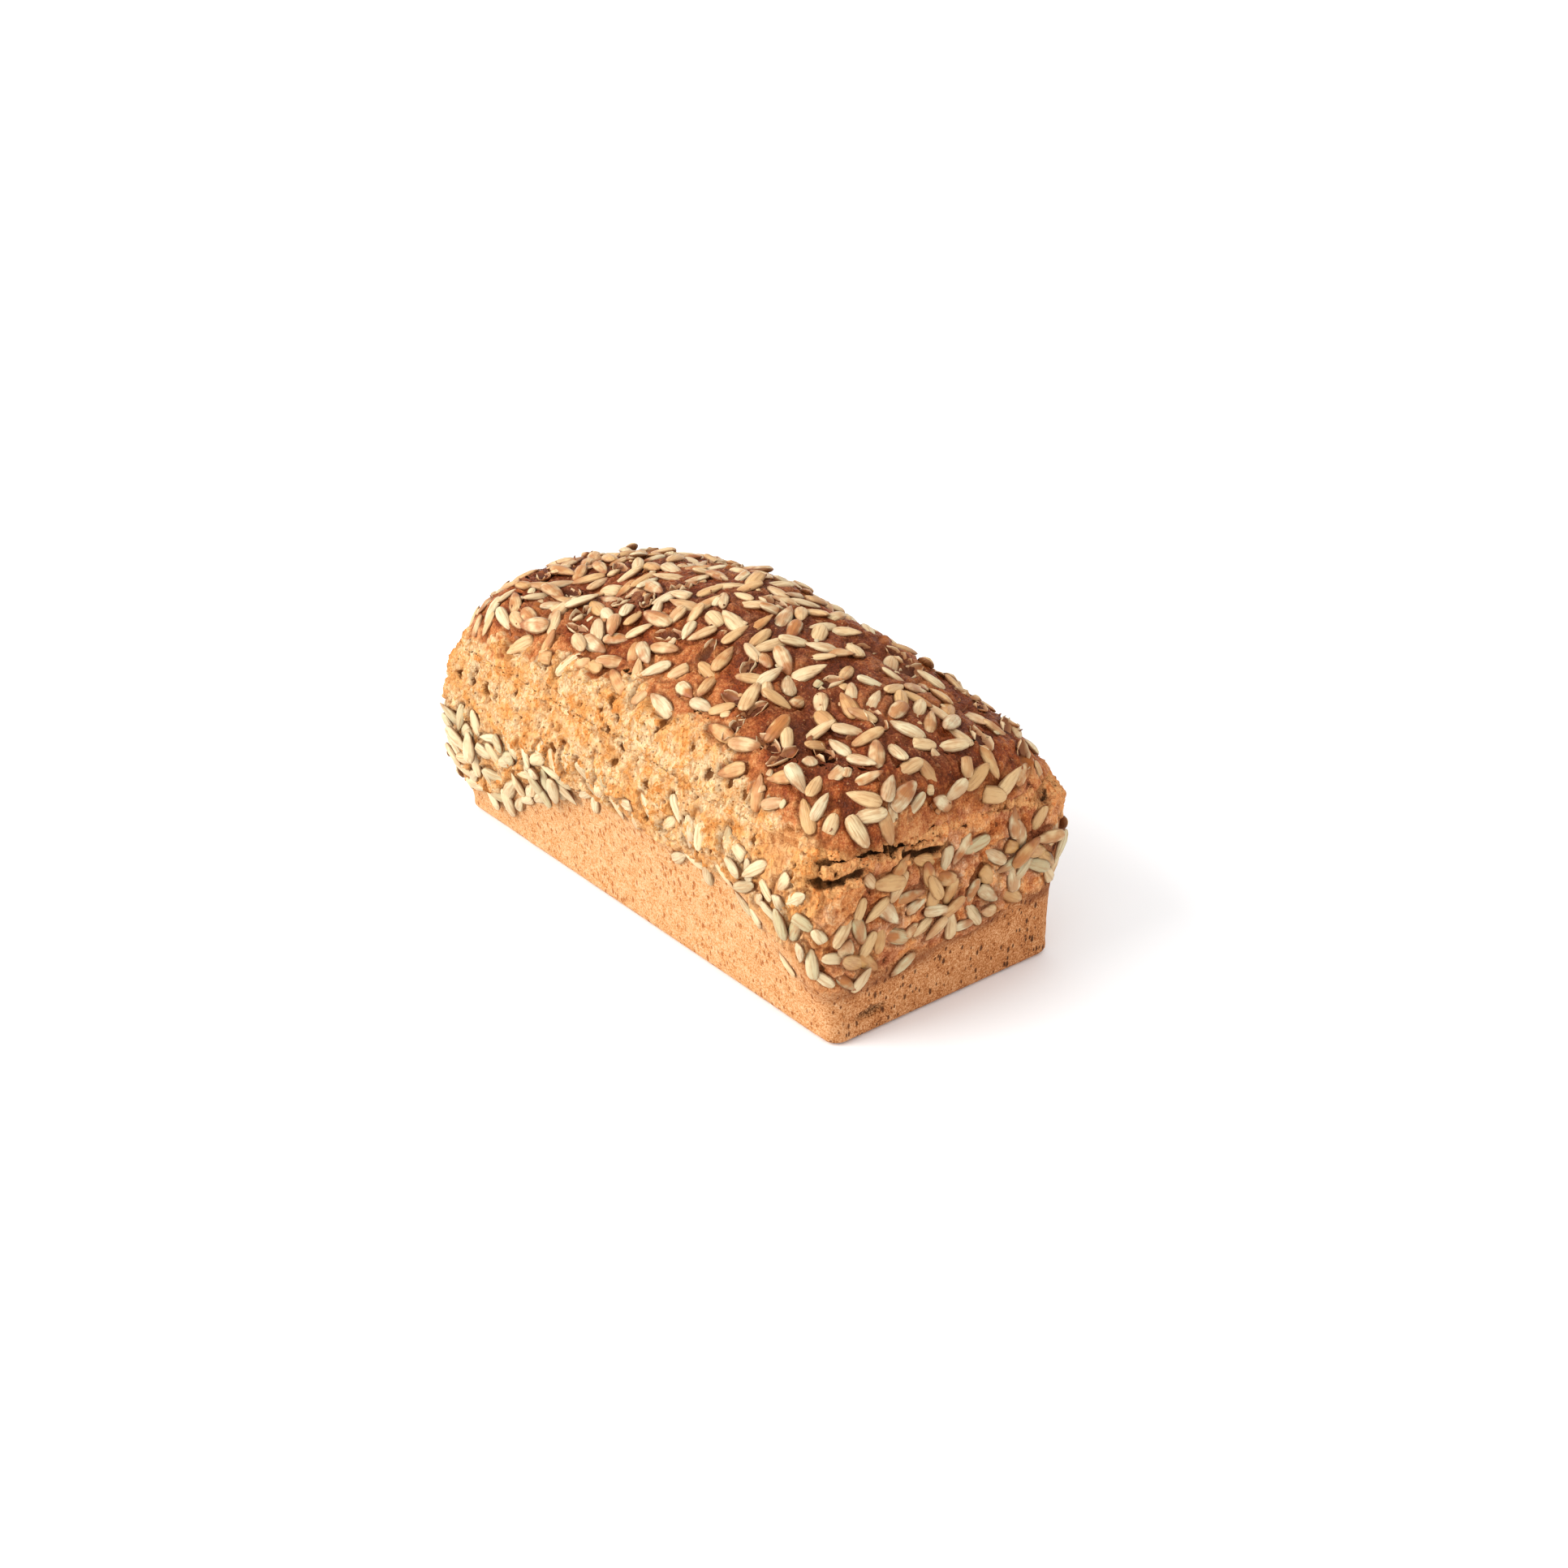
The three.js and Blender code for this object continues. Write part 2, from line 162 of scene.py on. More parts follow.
# Slow waves make the crust uneven, and fade out towards the base.
WAVES = {"seed": 11, "count": 9, "shortest": 17, "longest": 62, "steepness": 0.006}
WAVE_SHARE = [(0, 0), (0.15, 0), (0.9, 0.35), (1.3, 1), (5, 1)]
HEART = np.array([0, 0, 46.0])


# %% The form as a function of u and the level
def square_at(u):
    """u from 0 to 4 goes once round a square: the left side, the near end, the right side, the far end."""
    turn = np.mod(u, 4)
    s = np.select([turn < 1, turn < 2, turn < 3], [-1 + 2 * turn, 1, 1 - 2 * (turn - 2)], -1)
    t = np.select([turn < 1, turn < 2, turn < 3], [-1, -1 + 2 * (turn - 1), 1], 1 - 2 * (turn - 3))
    return s, t


def from_corners(values, s, t):
    """Blends four corner values over the square, straight along both sides."""
    near_left, near_right, far_right, far_left = values
    near = near_left * (1 - t) + near_right * (1 + t)
    far = far_left * (1 - t) + far_right * (1 + t)
    return (near * (1 + s) + far * (1 - s)) / 4


def rim_height(s, t):
    """The rim's corner heights, with an arch along each long side."""
    climb = smooth(ARCH["climb_from"], ARCH["climb_to"], s)
    fall = 1 - smooth(ARCH["fall_from"], 1, s)
    return from_corners(RIM, s, t) + np.where(t < 0, ARCH["left"] * climb * fall, ARCH["right"] * (1 - s * s))


def plan_point(s, t, bulge, corner, inset):
    """A rounded rectangle: a point of the square is scaled out, and pulled in to the arc where a corner is."""
    half_length = BASE["length"] / 2 + np.where(s < 0, BULGE["far"], BULGE["near"]) * bulge - inset
    half_width = BASE["width"] / 2 + np.where(t < 0, BULGE["left"], BULGE["right"]) * bulge - inset
    size = np.maximum(np.abs(s), np.abs(t))
    radius = corner * size
    x, y = half_length * s, half_width * t
    inner_x = np.clip(x, radius - half_length * size, half_length * size - radius)
    inner_y = np.clip(y, radius - half_width * size, half_width * size - radius)
    reach = np.hypot(x - inner_x, y - inner_y)
    pull = np.minimum(1, radius / np.maximum(reach, 1e-12))
    return inner_x + (x - inner_x) * pull, inner_y + (y - inner_y) * pull


def wall_point(u, level):
    """The wall leans out by its bulge, is notched in a bell round the crack, and rounds in at the foot."""
    s, t = square_at(u)
    rim, crack = rim_height(s, t), from_corners(CRACK, s, t)
    z = np.where(level < 1, rim * level, mix(rim, crack, level - 1))
    z = np.where(level > 2, crack + LIP["rise"] * (level - 2), z)
    at_ends = smooth(NOTCH["ends_from"], 1, np.abs(s))
    depth = from_corners(NOTCH["depth"], s, t) * mix(NOTCH["along_sides"], 1, at_ends)
    notch = depth * bump(z - crack, NOTCH["half_height"])
    lift = 1 - np.clip(z / BASE["foot"], 0, 1)
    foot = BASE["foot"] * (1 - np.sqrt(1 - lift * lift))
    corner = mix(BASE["corner"], LIP["corner"], level / 3)
    x, y = plan_point(s, t, curve_through(PROFILE, level), corner, notch + foot)
    return np.stack([x, y, z], -1)


def shoulder_point(u, share):
    """An arc from the lip: the outline draws in by its radius less the cosine, and rises by the sine."""
    s, t = square_at(u)
    angle = share * SHOULDER["sweep"]
    corner = mix(LIP["corner"], SHOULDER["corner"], share)
    x, y = plan_point(s, t, LIP_BULGE, corner, SHOULDER["radius"] * (1 - np.cos(angle)))
    return np.stack([x, y, from_corners(CRACK, s, t) + LIP["rise"] + SHOULDER["radius"] * np.sin(angle)], -1)


def crown_point(s, t):
    """A dome over the shoulder: one minus a power of each coordinate, multiplied, with the ridge to one side."""
    sweep = SHOULDER["sweep"]
    x, y = plan_point(s, t, LIP_BULGE, SHOULDER["corner"], SHOULDER["radius"] * (1 - math.cos(sweep)))
    across = np.abs(t - CROWN["skew"] * (1 - t * t))
    dome = (1 - across ** CROWN["across"]) * (1 - np.abs(s) ** CROWN["along"])
    edge = from_corners(CRACK, s, t) + LIP["rise"] + SHOULDER["radius"] * math.sin(sweep)
    return np.stack([x, y, edge + (CROWN["height"] + CROWN["lean"] * s) * dome], -1)


def plane_waves():
    """Plane sine waves through space, each with a direction and length as one vector, a height and a start."""
    length, turn, rise, start = random_numbers(WAVES["seed"], 4 * WAVES["count"]).reshape(-1, 4).T
    length = mix(WAVES["shortest"], WAVES["longest"], length)
    rise = 2 * rise - 1
    flat = np.sqrt(1 - rise * rise)
    direction = np.stack([flat * np.cos(2 * np.pi * turn), flat * np.sin(2 * np.pi * turn), rise], -1)
    return direction * (2 * np.pi / length)[:, None], WAVES["steepness"] * length, 2 * np.pi * start


WAVE_VECTORS, WAVE_HEIGHTS, WAVE_STARTS = plane_waves()


def uneven(points, level):
    """Moves points out or in by the sum of the waves, along the line from the loaf's heart."""
    centre = [(BULGE["far"] - BULGE["near"]) / 2, (BULGE["left"] - BULGE["right"]) / 2, 0]
    points = points + np.array(centre)
    swing = (np.sin(points @ WAVE_VECTORS.T + WAVE_STARTS) * WAVE_HEIGHTS).sum(-1)
    size = np.array([BASE["length"], BASE["width"], 2 * HEART[2]])
    outward = unit((points - HEART) / size**2)
    return points + outward * (swing * between(WAVE_SHARE, level))[..., None]


def crust_point(s, t):
    return uneven(crown_point(s, t), np.full(np.shape(s), 5.0))


def skin(u, level):
    """The whole surface: wall up to level 3, shoulder to 4, and smaller and smaller squares of the crown to 5."""
    u, level = np.broadcast_arrays(np.asarray(u, float), np.asarray(level, float))
    s, t = square_at(u)
    shrink = np.clip(5 - level, 0, 1)
    sides = np.select(
        [(level <= 3)[..., None], (level <= 4)[..., None]],
        [wall_point(u, np.minimum(level, 3)), shoulder_point(u, np.clip(level - 3, 0, 1))],
        crown_point(s * shrink, t * shrink),
    )
    return uneven(sides, level)


top_of_crown = crust_point(np.zeros(1), np.zeros(1))[0, 2]
print(f"the bare crown is {top_of_crown:.1f} mm high in the middle")

# %% [markdown]
# ## Where the kernels lie
#
# A baker rolls the shaped dough in kernels and scatters more on top. Kernels could be placed one by one, or by a
# particle system, which the export drops. Here they are thrown: each throw draws ten numbers, lands somewhere on
# the skin, and is kept if the bed has kernels there and none lies too close. A kernel that lands half on others
# lies a little higher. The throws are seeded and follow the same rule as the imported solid, whose kernels are the
# largest of these.

# %% The beds of kernels
KERNEL = {"length": (8.6, 13), "width": (0.4, 0.5), "thickness": (0.5, 0.6), "sink": (0.3, 0.48)}
STACK = {"near": 0.5, "step": 0.34, "most": 2}
LOOSE_TURN = 0.3
SETTLE = {"reach": 0.4, "share": 0.7, "most": 2.4, "levels": (0.3, 4.98)}
BEDS = [
    {"name": "top", "seed": 301, "count": 236, "levels": (3.1, 4.98), "gap": 5, "widest": 8000},
    {"name": "band", "seed": 302, "count": 262, "levels": (0.85, 2.1), "gap": 4.3, "widest": 10000},
]
# Round the loaf from its far left corner: place, lowest and highest level of the band, share covered.
BAND = [
    (0, 1, 1.62, 0.95),
    (0.27, 1, 1.55, 1),
    (0.36, 1.02, 1.52, 0.5),
    (0.42, 1.1, 1.6, 0.36),
    (0.5, 1.34, 1.74, 0.32),
    (0.84, 1.38, 1.76, 0.32),
    (0.93, 1.26, 1.74, 0.45),
    (1, 1, 1.62, 0.62),
    (1.08, 1, 1.54, 0.6),
    (1.17, 1.08, 1.84, 0.52),
    (1.6, 1.03, 1.88, 0.52),
    (1.9, 1.16, 1.84, 0.5),
    (2.1, 1, 1.5, 0.5),
    (2.5, 1, 1.4, 0.36),
    (2.9, 1, 1.5, 0.6),
    (3.1, 1, 1.66, 0.62),
    (3.8, 1, 1.6, 0.6),
    (4, 1, 1.62, 0.95),
]
# On top the kernels begin where the dark crust does: place, lowest level. They lie closest on the far half.
TOP_FROM = [
    (0, 3.15),
    (0.1, 3.3),
    (0.32, 3.6),
    (0.5, 3.86),
    (0.66, 3.76),
    (0.78, 3.45),
    (0.95, 3.15),
    (1.1, 3.1),
    (2, 3.1),
    (2.25, 3.4),
    (2.8, 3.4),
    (3.05, 3.1),
    (4, 3.15),
]
NEAR_HALF = {"share": 0.62, "from": -0.35, "to": 0.4}
THIN_PATCH = {"at": (0.52, 0.55), "radius": 0.42, "share": 0.3}
TRIES = 20000
DRAWS = 10
STEP = 1e-3


# %% Throwing the kernels
def skin_frame(u, level):
    """The point, the unit directions round, sideways and out, the speeds along both, and the local area."""
    around = (skin(u + STEP, level) - skin(u - STEP, level)) / (2 * STEP)
    upward = (skin(u, level + STEP) - skin(u, level - STEP)) / (2 * STEP)
    normal = np.cross(around, upward)
    made = {
        "u": u,
        "level": level,
        "point": skin(u, level),
        "area": np.linalg.norm(normal, axis=-1),
        "speed_round": np.linalg.norm(around, axis=-1),
        "speed_up": np.linalg.norm(upward, axis=-1),
        "round": unit(around),
        "normal": unit(normal),
    }
    made["side"] = np.cross(made["normal"], made["round"])
    return made


def share_covered(bed, u, level):
    """How much of the surface a bed covers at a place, from none at 0 to as close as it can at 1."""
    if bed["name"] == "band":
        inside = (level > between(BAND, u, 1)) & (level < between(BAND, u, 2))
        return np.where(inside, between(BAND, u, 3), 0)
    s, t = square_at(u)
    shrink = np.minimum(1, 5 - level)
    apart = np.hypot(s * shrink - THIN_PATCH["at"][0], t * shrink - THIN_PATCH["at"][1])
    share = mix(1, NEAR_HALF["share"], smooth(NEAR_HALF["from"], NEAR_HALF["to"], s * shrink))
    share = np.where(apart < THIN_PATCH["radius"], THIN_PATCH["share"], share)
    return np.where(level < between(TOP_FROM, u), 0, share)


def settling(spots, length, turn):
    """How far a kernel sinks so that its two ends don't stand clear of the crust, as on a corner."""
    gaps = 0
    for end in (-1, 1):
        along = end * length * SETTLE["reach"] * np.cos(turn)
        across = end * length * SETTLE["reach"] * np.sin(turn)
        tip = spots["point"] + spots["round"] * along[:, None] + spots["side"] * across[:, None]
        level = np.clip(spots["level"] + across / spots["speed_up"], *SETTLE["levels"])
        below = skin(spots["u"] + along / spots["speed_round"], level)
        gaps = gaps + dot(tip - below, spots["normal"]) / 2
    return SETTLE["share"] * np.clip(gaps, 0, SETTLE["most"])


def scatter(bed):
    """Throws kernels at a bed and returns those that stay, as arrays, the longest first."""
    draws = random_numbers(bed["seed"], TRIES * DRAWS).reshape(TRIES, DRAWS)
    spots = skin_frame(4 * draws[:, 0], mix(*bed["levels"], draws[:, 1]))
    lands = draws[:, 2] <= share_covered(bed, spots["u"], spots["level"]) * spots["area"] / bed["widest"]
    lengths = mix(*KERNEL["length"], (draws[:, 3] + draws[:, 4]) / 2)
    kept, under = [], []
    for i in np.flatnonzero(lands):
        apart = np.linalg.norm(spots["point"][kept] - spots["point"][i], axis=-1)
        if len(kept) < bed["count"] and not (apart < bed["gap"]).any():
            under.append((apart < lengths[i] * STACK["near"]).sum())
            kept.append(i)
    order = np.argsort(-lengths[kept], kind="stable")
    kept, under = np.array(kept)[order], np.array(under)[order]
    spots = {name: values[kept] for name, values in spots.items()}
    draws, length = draws[kept], lengths[kept]
    width = length * mix(*KERNEL["width"], draws[:, 5])
    thickness = width * mix(*KERNEL["thickness"], draws[:, 6])
    turn = 2 * np.pi * draws[:, 8]
    lift = np.minimum(under, STACK["most"]) * STACK["step"]
    settle = settling(spots, length, turn)
    height = thickness * (0.5 + lift - mix(*KERNEL["sink"], draws[:, 7])) - settle
    pitch = LOOSE_TURN * (2 * draws[:, 9] - 1)
    return {**spots, "length": length, "width": width, "thickness": thickness, "height": height,
            "turn": turn, "pitch": pitch}  # fmt: skip


def joined(groups):
    """Several groups of scattered things as one."""
    return {name: np.concatenate([group[name] for group in groups]) for name in groups[0]}


def frames_of(things):
    """For each thing, its centre and its three axes: along it, across it, and out of the crust.

    The frame of the skin is turned about the normal, and then tipped about the thing's own width."""
    cos_turn, sin_turn = np.cos(things["turn"])[:, None], np.sin(things["turn"])[:, None]
    flat = things["round"] * cos_turn + things["side"] * sin_turn
    across = things["side"] * cos_turn - things["round"] * sin_turn
    cos_pitch, sin_pitch = np.cos(things["pitch"])[:, None], np.sin(things["pitch"])[:, None]
    along = flat * cos_pitch - things["normal"] * sin_pitch
    out = flat * sin_pitch + things["normal"] * cos_pitch
    centre = things["point"] + things["normal"] * things["height"][:, None]
    return centre, np.stack([along, across, out], 1)


beds = {bed["name"]: scatter(bed) for bed in BEDS}
for name, bed in beds.items():
    print(f"{name}: {len(bed['length'])} kernels, {bed['length'].min():.1f} to {bed['length'].max():.1f} mm long")

# %% [markdown]
# ## Noise and pits
#
# Bread is uneven at every size: waves of a centimetre, crumbs of a millimetre, and bubbles that burst. Blender's
# own textures can displace a mesh through a modifier, but the place of each pore would be hidden in it. A few
# small functions do it in numpy. All hash the corners of a lattice, so they need no stored table.


# %% Noise and pits on a lattice
def hashed(corners, salt):
    """A number from 0 to 1 for each lattice corner: the three whole numbers are multiplied, mixed and shifted."""
    x, y, z = np.moveaxis(corners.astype(np.int32), -1, 0).astype(np.uint32)
    mixed = x * np.uint32(0x8DA6B343) ^ y * np.uint32(0xD8163841) ^ z * np.uint32(0xCB1AB31F)
    mixed = mixed ^ np.uint32((salt * 0x9E3779B9) & 0xFFFFFFFF)
    for shift, factor in ((16, 0x7FEB352D), (15, 0x846CA68B)):
        mixed = (mixed ^ (mixed >> np.uint32(shift))) * np.uint32(factor)
    return (mixed ^ (mixed >> np.uint32(16))) / 4294967296.0


def noise(points, size, salt):
    """Soft noise from -1 to 1: corner values blended with an S-curve over cells of the given size."""
    places = points / size
    base = np.floor(places)
    share = places - base
    share = share * share * (3 - 2 * share)
    total = 0
    for corner in itertools.product((0, 1), repeat=3):
        corner = np.array(corner)
        weight = np.prod(np.where(corner, share, 1 - share), axis=-1)
        total = total + weight * hashed(base + corner, salt)
    return 2 * total - 1


def pits(points, cell, radii, share, salt, stretch=(1, 1, 1), steep=1.5):
    """Bowls with depth 1 in the middle: each lattice cell may hold one, with its own centre and radius.

    A bowl's depth is one minus the squared distance over the radius, to the power steep: a small power makes a
    flat floor with steep walls. The deepest bowl counts."""
    places = points / (cell * np.array(stretch))
    base = np.floor(places)
    deepest = np.zeros(len(points))
    for offset in itertools.product((-1, 0, 1), repeat=3):
        corner = base + np.array(offset)
        centre = corner + np.stack([hashed(corner, salt + k) for k in (1, 2, 3)], -1)
        radius = mix(*radii, hashed(corner, salt + 4)) / cell
        gap = np.linalg.norm(places - centre, axis=-1) / radius
        bowl = np.clip(1 - gap * gap, 0, 1) ** steep * (hashed(corner, salt + 5) < share)
        deepest = np.maximum(deepest, bowl)
    return deepest


def walls(points, cell, salt, stretch=(1, 1, 1)):
    """Thin walls between bubbles: 0 in each bubble's middle and 1 where two bubbles meet.

    The distance to the nearest of the random centres, over the distance to the second nearest."""
    places = points / (cell * np.array(stretch))
    base = np.floor(places)
    nearest = np.full(len(points), 9.0)
    second = np.full(len(points), 9.0)
    for offset in itertools.product((-1, 0, 1), repeat=3):
        corner = base + np.array(offset)
        centre = corner + np.stack([hashed(corner, salt + k) for k in (1, 2, 3)], -1)
        gap = np.linalg.norm(places - centre, axis=-1)
        second = np.minimum(second, np.maximum(gap, nearest))
        nearest = np.minimum(nearest, gap)
    return nearest / second


# %% [markdown]
# ## The crust's grid
#
# The skin is sampled about every 0.45 mm round the loaf, and every 0.2 to 1.2 mm up the wall. Rings of points go
# up the wall and over the shoulder, a grid covers the crown and shares its edge with the last ring, and rings
# that shrink to the middle close the base.
# The crust is one surface, cut afterwards into five closed pieces, because an exported piece may have no more
# than 200,000 triangles: the wall that the tin shaped, two halves of the belly that tore, and two of the cap.

# %% The grid of the crust
CELLS = {"along": 450, "across": 212}
ROUND = 2 * (CELLS["along"] + CELLS["across"])
BASE_RINGS = np.array([0.5, 0.85, 0.97])
WALL_LEVELS = np.concatenate([[0, 0.01, 0.025, 0.045, 0.07], np.linspace(0.1, 0.94, 34)])
LOW_BELLY_LEVELS = np.linspace(0.965, 1.49, 46)
HIGH_BELLY_LEVELS = np.concatenate(
    [np.linspace(1.5, 1.93, 38), np.linspace(1.945, 2.05, 8), np.linspace(2.1, 2.9, 8)]
)
EDGE_LEVELS = np.linspace(3, 4, 30)
BANDS = [WALL_LEVELS, LOW_BELLY_LEVELS, HIGH_BELLY_LEVELS, EDGE_LEVELS]
LEVELS = np.concatenate(BANDS)

# u of each sample: even steps along each of the four sides.
ROUND_U = np.concatenate([
    side + np.arange(count) / count
    for side, count in enumerate((CELLS["along"], CELLS["across"]) * 2)
])  # fmt: skip


def quads_between(lower, upper):
    """Four-sided faces between two rings given as arrays of vertex numbers, seen from outside."""
    return np.stack([lower, np.roll(lower, -1), np.roll(upper, -1), upper], -1)


def fan(ring, middle, facing_down):
    """Triangles from a ring to a middle point, which close a piece."""
    first, second = (np.roll(ring, -1), ring) if facing_down else (ring, np.roll(ring, -1))
    return np.stack([first, second, np.full(len(ring), middle)], -1)


ring_u, ring_level = np.meshgrid(ROUND_U, LEVELS)
ring_points = skin(ring_u, ring_level)
base_points = ring_points[0] * BASE_RINGS[:, None, None]
rows = np.arange((len(BASE_RINGS) + len(LEVELS)) * ROUND).reshape(-1, ROUND)

# The crown's grid takes its edge from the last ring.
crown_numbers = np.full((CELLS["along"] + 1, CELLS["across"] + 1), -1)
crown_numbers[:-1, 0], rest = np.split(rows[-1], [CELLS["along"]])
crown_numbers[-1, :-1], rest = np.split(rest, [CELLS["across"]])
crown_numbers[:0:-1, -1], crown_numbers[0, :0:-1] = np.split(rest, [CELLS["along"]])
inner = crown_numbers < 0
crown_numbers[inner] = rows.size + np.arange(inner.sum())
grid_s, grid_t = np.meshgrid(*(np.linspace(-1, 1, n) for n in crown_numbers.shape), indexing="ij")
grid_s, grid_t = grid_s[inner], grid_t[inner]
crown_quads = np.stack(
    [crown_numbers[:-1, :-1], crown_numbers[1:, :-1], crown_numbers[1:, 1:], crown_numbers[:-1, 1:]], -1
).reshape(-1, 4)

# A point of the crown has its u from the square's edge behind it, and its level from the square's size.
size = np.maximum(np.maximum(np.abs(grid_s), np.abs(grid_t)), 1e-9)
edge_s, edge_t = grid_s / size, grid_t / size
crown_u = np.select(
    [edge_t <= -1, edge_s >= 1, edge_t >= 1],
    [(edge_s + 1) / 2, 1 + (edge_t + 1) / 2, 2 + (1 - edge_s) / 2],
    3 + (1 - edge_t) / 2,
)

# The rows where the pieces are cut apart, each with a middle point to close them: the base, and four cuts.
cut_rows = [0] + [len(BASE_RINGS) + sum(len(band) for band in BANDS[:k]) for k in (1, 2, 3)] + [len(rows) - 1]
middles = rows.size + inner.sum() + np.arange(len(cut_rows))
middle_points = [[0, 0, 0]] + [[0, 0, ring_points[row - len(BASE_RINGS), :, 2].mean()] for row in cut_rows[1:]]
points = np.concatenate([
    base_points.reshape(-1, 3), ring_points.reshape(-1, 3), crust_point(grid_s, grid_t), middle_points,
])  # fmt: skip
no_place = np.zeros(len(middles))
place_u = np.concatenate([np.tile(ROUND_U, len(BASE_RINGS)), ring_u.ravel(), crown_u, no_place])
place_level = np.concatenate([np.zeros(base_points.size // 3), ring_level.ravel(), 5 - size, no_place])
all_quads = np.concatenate([quads_between(low, high) for low, high in zip(rows[:-1], rows[1:])] + [crown_quads])
print(f"the crust has {len(points)} points, {ROUND} round the loaf")

# %% [markdown]
# ## Zones
#
# The tin kept the wall smooth up to the rim. Above it the belly tore. Parts of the belly are still closed skin,
# and parts are open crumb. The cap begins at a ragged edge: high on the left shoulder, and low at the ends. It
# bakes darker towards the top. Zones could be painted on the mesh by hand. Here each is a mask from 0 to 1 worked
# out from the place, so that relief and colour change along the same ragged lines.


# %% Where each zone is
# Round the loaf: place, level at which the belly turns into the cap.
CAP_EDGE = [
    (0, 3.05),
    (0.09, 3.28),
    (0.2, 3.3),
    (0.32, 3.6),
    (0.5, 3.86),
    (0.66, 3.76),
    (0.76, 3.5),
    (0.92, 3.2),
    (1.02, 2.95),
    (1.1, 2.7),
    (1.25, 3.0),
    (1.5, 2.85),
    (1.75, 3.05),
    (2, 2.95),
    (2.25, 3.45),
    (2.8, 3.5),
    (3.05, 3.0),
    (3.5, 2.9),
    (4, 3.05),
]
# Round the loaf: place, how open the crumb of the belly is, how brown the crust is.
BELLY = [
    (0, 0.6, 0.25),
    (0.08, 0.85, 0.05),
    (0.78, 0.86, 0.04),
    (0.93, 0.5, 0.28),
    (1.0, 0.3, 0.62),
    (1.1, 0.16, 0.9),
    (1.9, 0.14, 1.0),
    (2.06, 0.4, 0.75),
    (2.4, 0.75, 0.35),
    (2.85, 0.7, 0.4),
    (3.08, 0.4, 0.75),
    (3.85, 0.4, 0.7),
    (4, 0.6, 0.25),
]

ragged = 0.5 * noise(points, 16, 41) + 0.32 * noise(points, 5.5, 42) + 0.18 * noise(points, 2, 43)
past_edge = place_level - between(CAP_EDGE, place_u)
frayed = ragged + 0.5 * noise(points, 2.3, 44) + 0.35 * noise(points, 1.1, 45)
baked = smooth(-0.15, 0.15, past_edge + 0.42 * frayed)
degree = smooth(-0.3, 1.2, past_edge + 0.5 * frayed)
torn = smooth(0.98, 1.16, place_level + 0.22 * ragged)
brown = np.where(place_level > 0, between(BELLY, place_u, 2), 0.8)
print(f"zones: {(1 - torn).mean():.0%} tin wall, {(torn - baked).clip(0).mean():.0%} belly, {baked.mean():.0%} cap")

# %% [markdown]
# ## The crack
#
# As the loaf rose, the cap lifted off the belly at the two ends. What shows is a thin dark fissure that wanders
# and breaks off, with crumb on both sides. A groove of constant width would look cut with a tool, so the fissure
# follows paths of points that noise bends, and its strength comes and goes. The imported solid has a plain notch
# there instead, and torn crumb fills part of it again.

# %% Paths of the fissures
# Points in millimetres along each fissure. The near end's are where the photograph shows them.
FISSURES = [
    [(91, -49, 62), (98, -38, 61.2), (99, -30, 62), (99, -20, 60.4), (99, -10, 59.4), (99, 0, 60.4),
     (98, 10, 58.2), (98, 20, 59.4), (98, 30, 57.6), (100, 38, 56.4), (95, 47, 56)],
    [(91, -50, 56), (97, -45, 55), (100, -40, 56.2), (101, -34, 57)],
    [(101, -18, 57.6), (101, -12, 56.2), (102, -3, 54.8)],
    [(-90, 46, 60), (-99, 36, 61.5), (-101, 24, 60), (-100, 10, 62), (-101, -4, 60.5), (-101, -18, 62.4),
     (-100, -32, 60.5), (-95, -44, 62)],
    [(-101, 26, 55), (-102, 15, 56.4), (-102, 6, 55)],
]  # fmt: skip
FISSURE = {"depth": 4.8, "half_width": 1.15, "crumb_round": 3.4}
NOTCH_FILLED = 0.75


def path_distance(places, path):
    """The distance to the nearest of a path's straight pieces, each point being dropped onto each piece."""
    ends = np.array(path, float)
    nearest = np.full(len(places), 99.0)
    for start, end in zip(ends[:-1], ends[1:]):
        way = end - start
        share = np.clip((places - start) @ way / dot(way, way), 0, 1)
        nearest = np.minimum(nearest, np.linalg.norm(places - start - share[:, None] * way, axis=-1))
    return nearest


wandered = points + 1.1 * np.stack([noise(points, 4.5, salt) for salt in (61, 62, 63)], -1)
wandered += 0.55 * np.stack([noise(points, 1.6, salt) for salt in (66, 67, 68)], -1)
near_crack = (place_level > 1.3) & (place_level < 3.3)
from_fissure = np.full(len(points), 99.0)
for path in FISSURES:
    from_fissure[near_crack] = np.minimum(from_fissure[near_crack], path_distance(wandered[near_crack], path))
come_and_go = smooth(-0.95, 0.25, noise(points, 9, 64) + 0.6 * noise(points, 3, 65))
crevice = bump(np.maximum(from_fissure - 0.15, 0), FISSURE["half_width"]) * come_and_go
crumb_round_fissure = bump(from_fissure, FISSURE["crumb_round"])

openness = between(BELLY, place_u, 1) - 0.35 * (1 - smooth(1.1, 1.5, place_level))
open_crumb = smooth(-0.3, 0.3, 1.5 * (openness - 0.5) + 0.75 * ragged + 1.1 * crumb_round_fissure)
crumb = open_crumb * torn * (1 - baked)
closed_skin = (1 - open_crumb) * torn * (1 - baked)

# %% [markdown]
# ## Relief
#
# The tin wall has shallow pores, and its foot is chipped. Crumb is a sponge: thin walls and flaps stand between
# bubbles of several sizes, and some bubbles burst wide open. Closed skin and the cap are drawn tight over slow
# swells, with fine wrinkles. A bump in the material would leave the outline smooth, so each zone has a formula
# for its relief in millimetres, worked out only where the zone is.


# %% The relief of each zone
def where(mask, formula):
    """Reckons a formula at the points where a mask is above 0, and leaves 0 elsewhere."""
    chosen = np.flatnonzero(mask > 0.003)
    values = np.zeros(len(points))
    values[chosen] = formula(points[chosen])
    return values


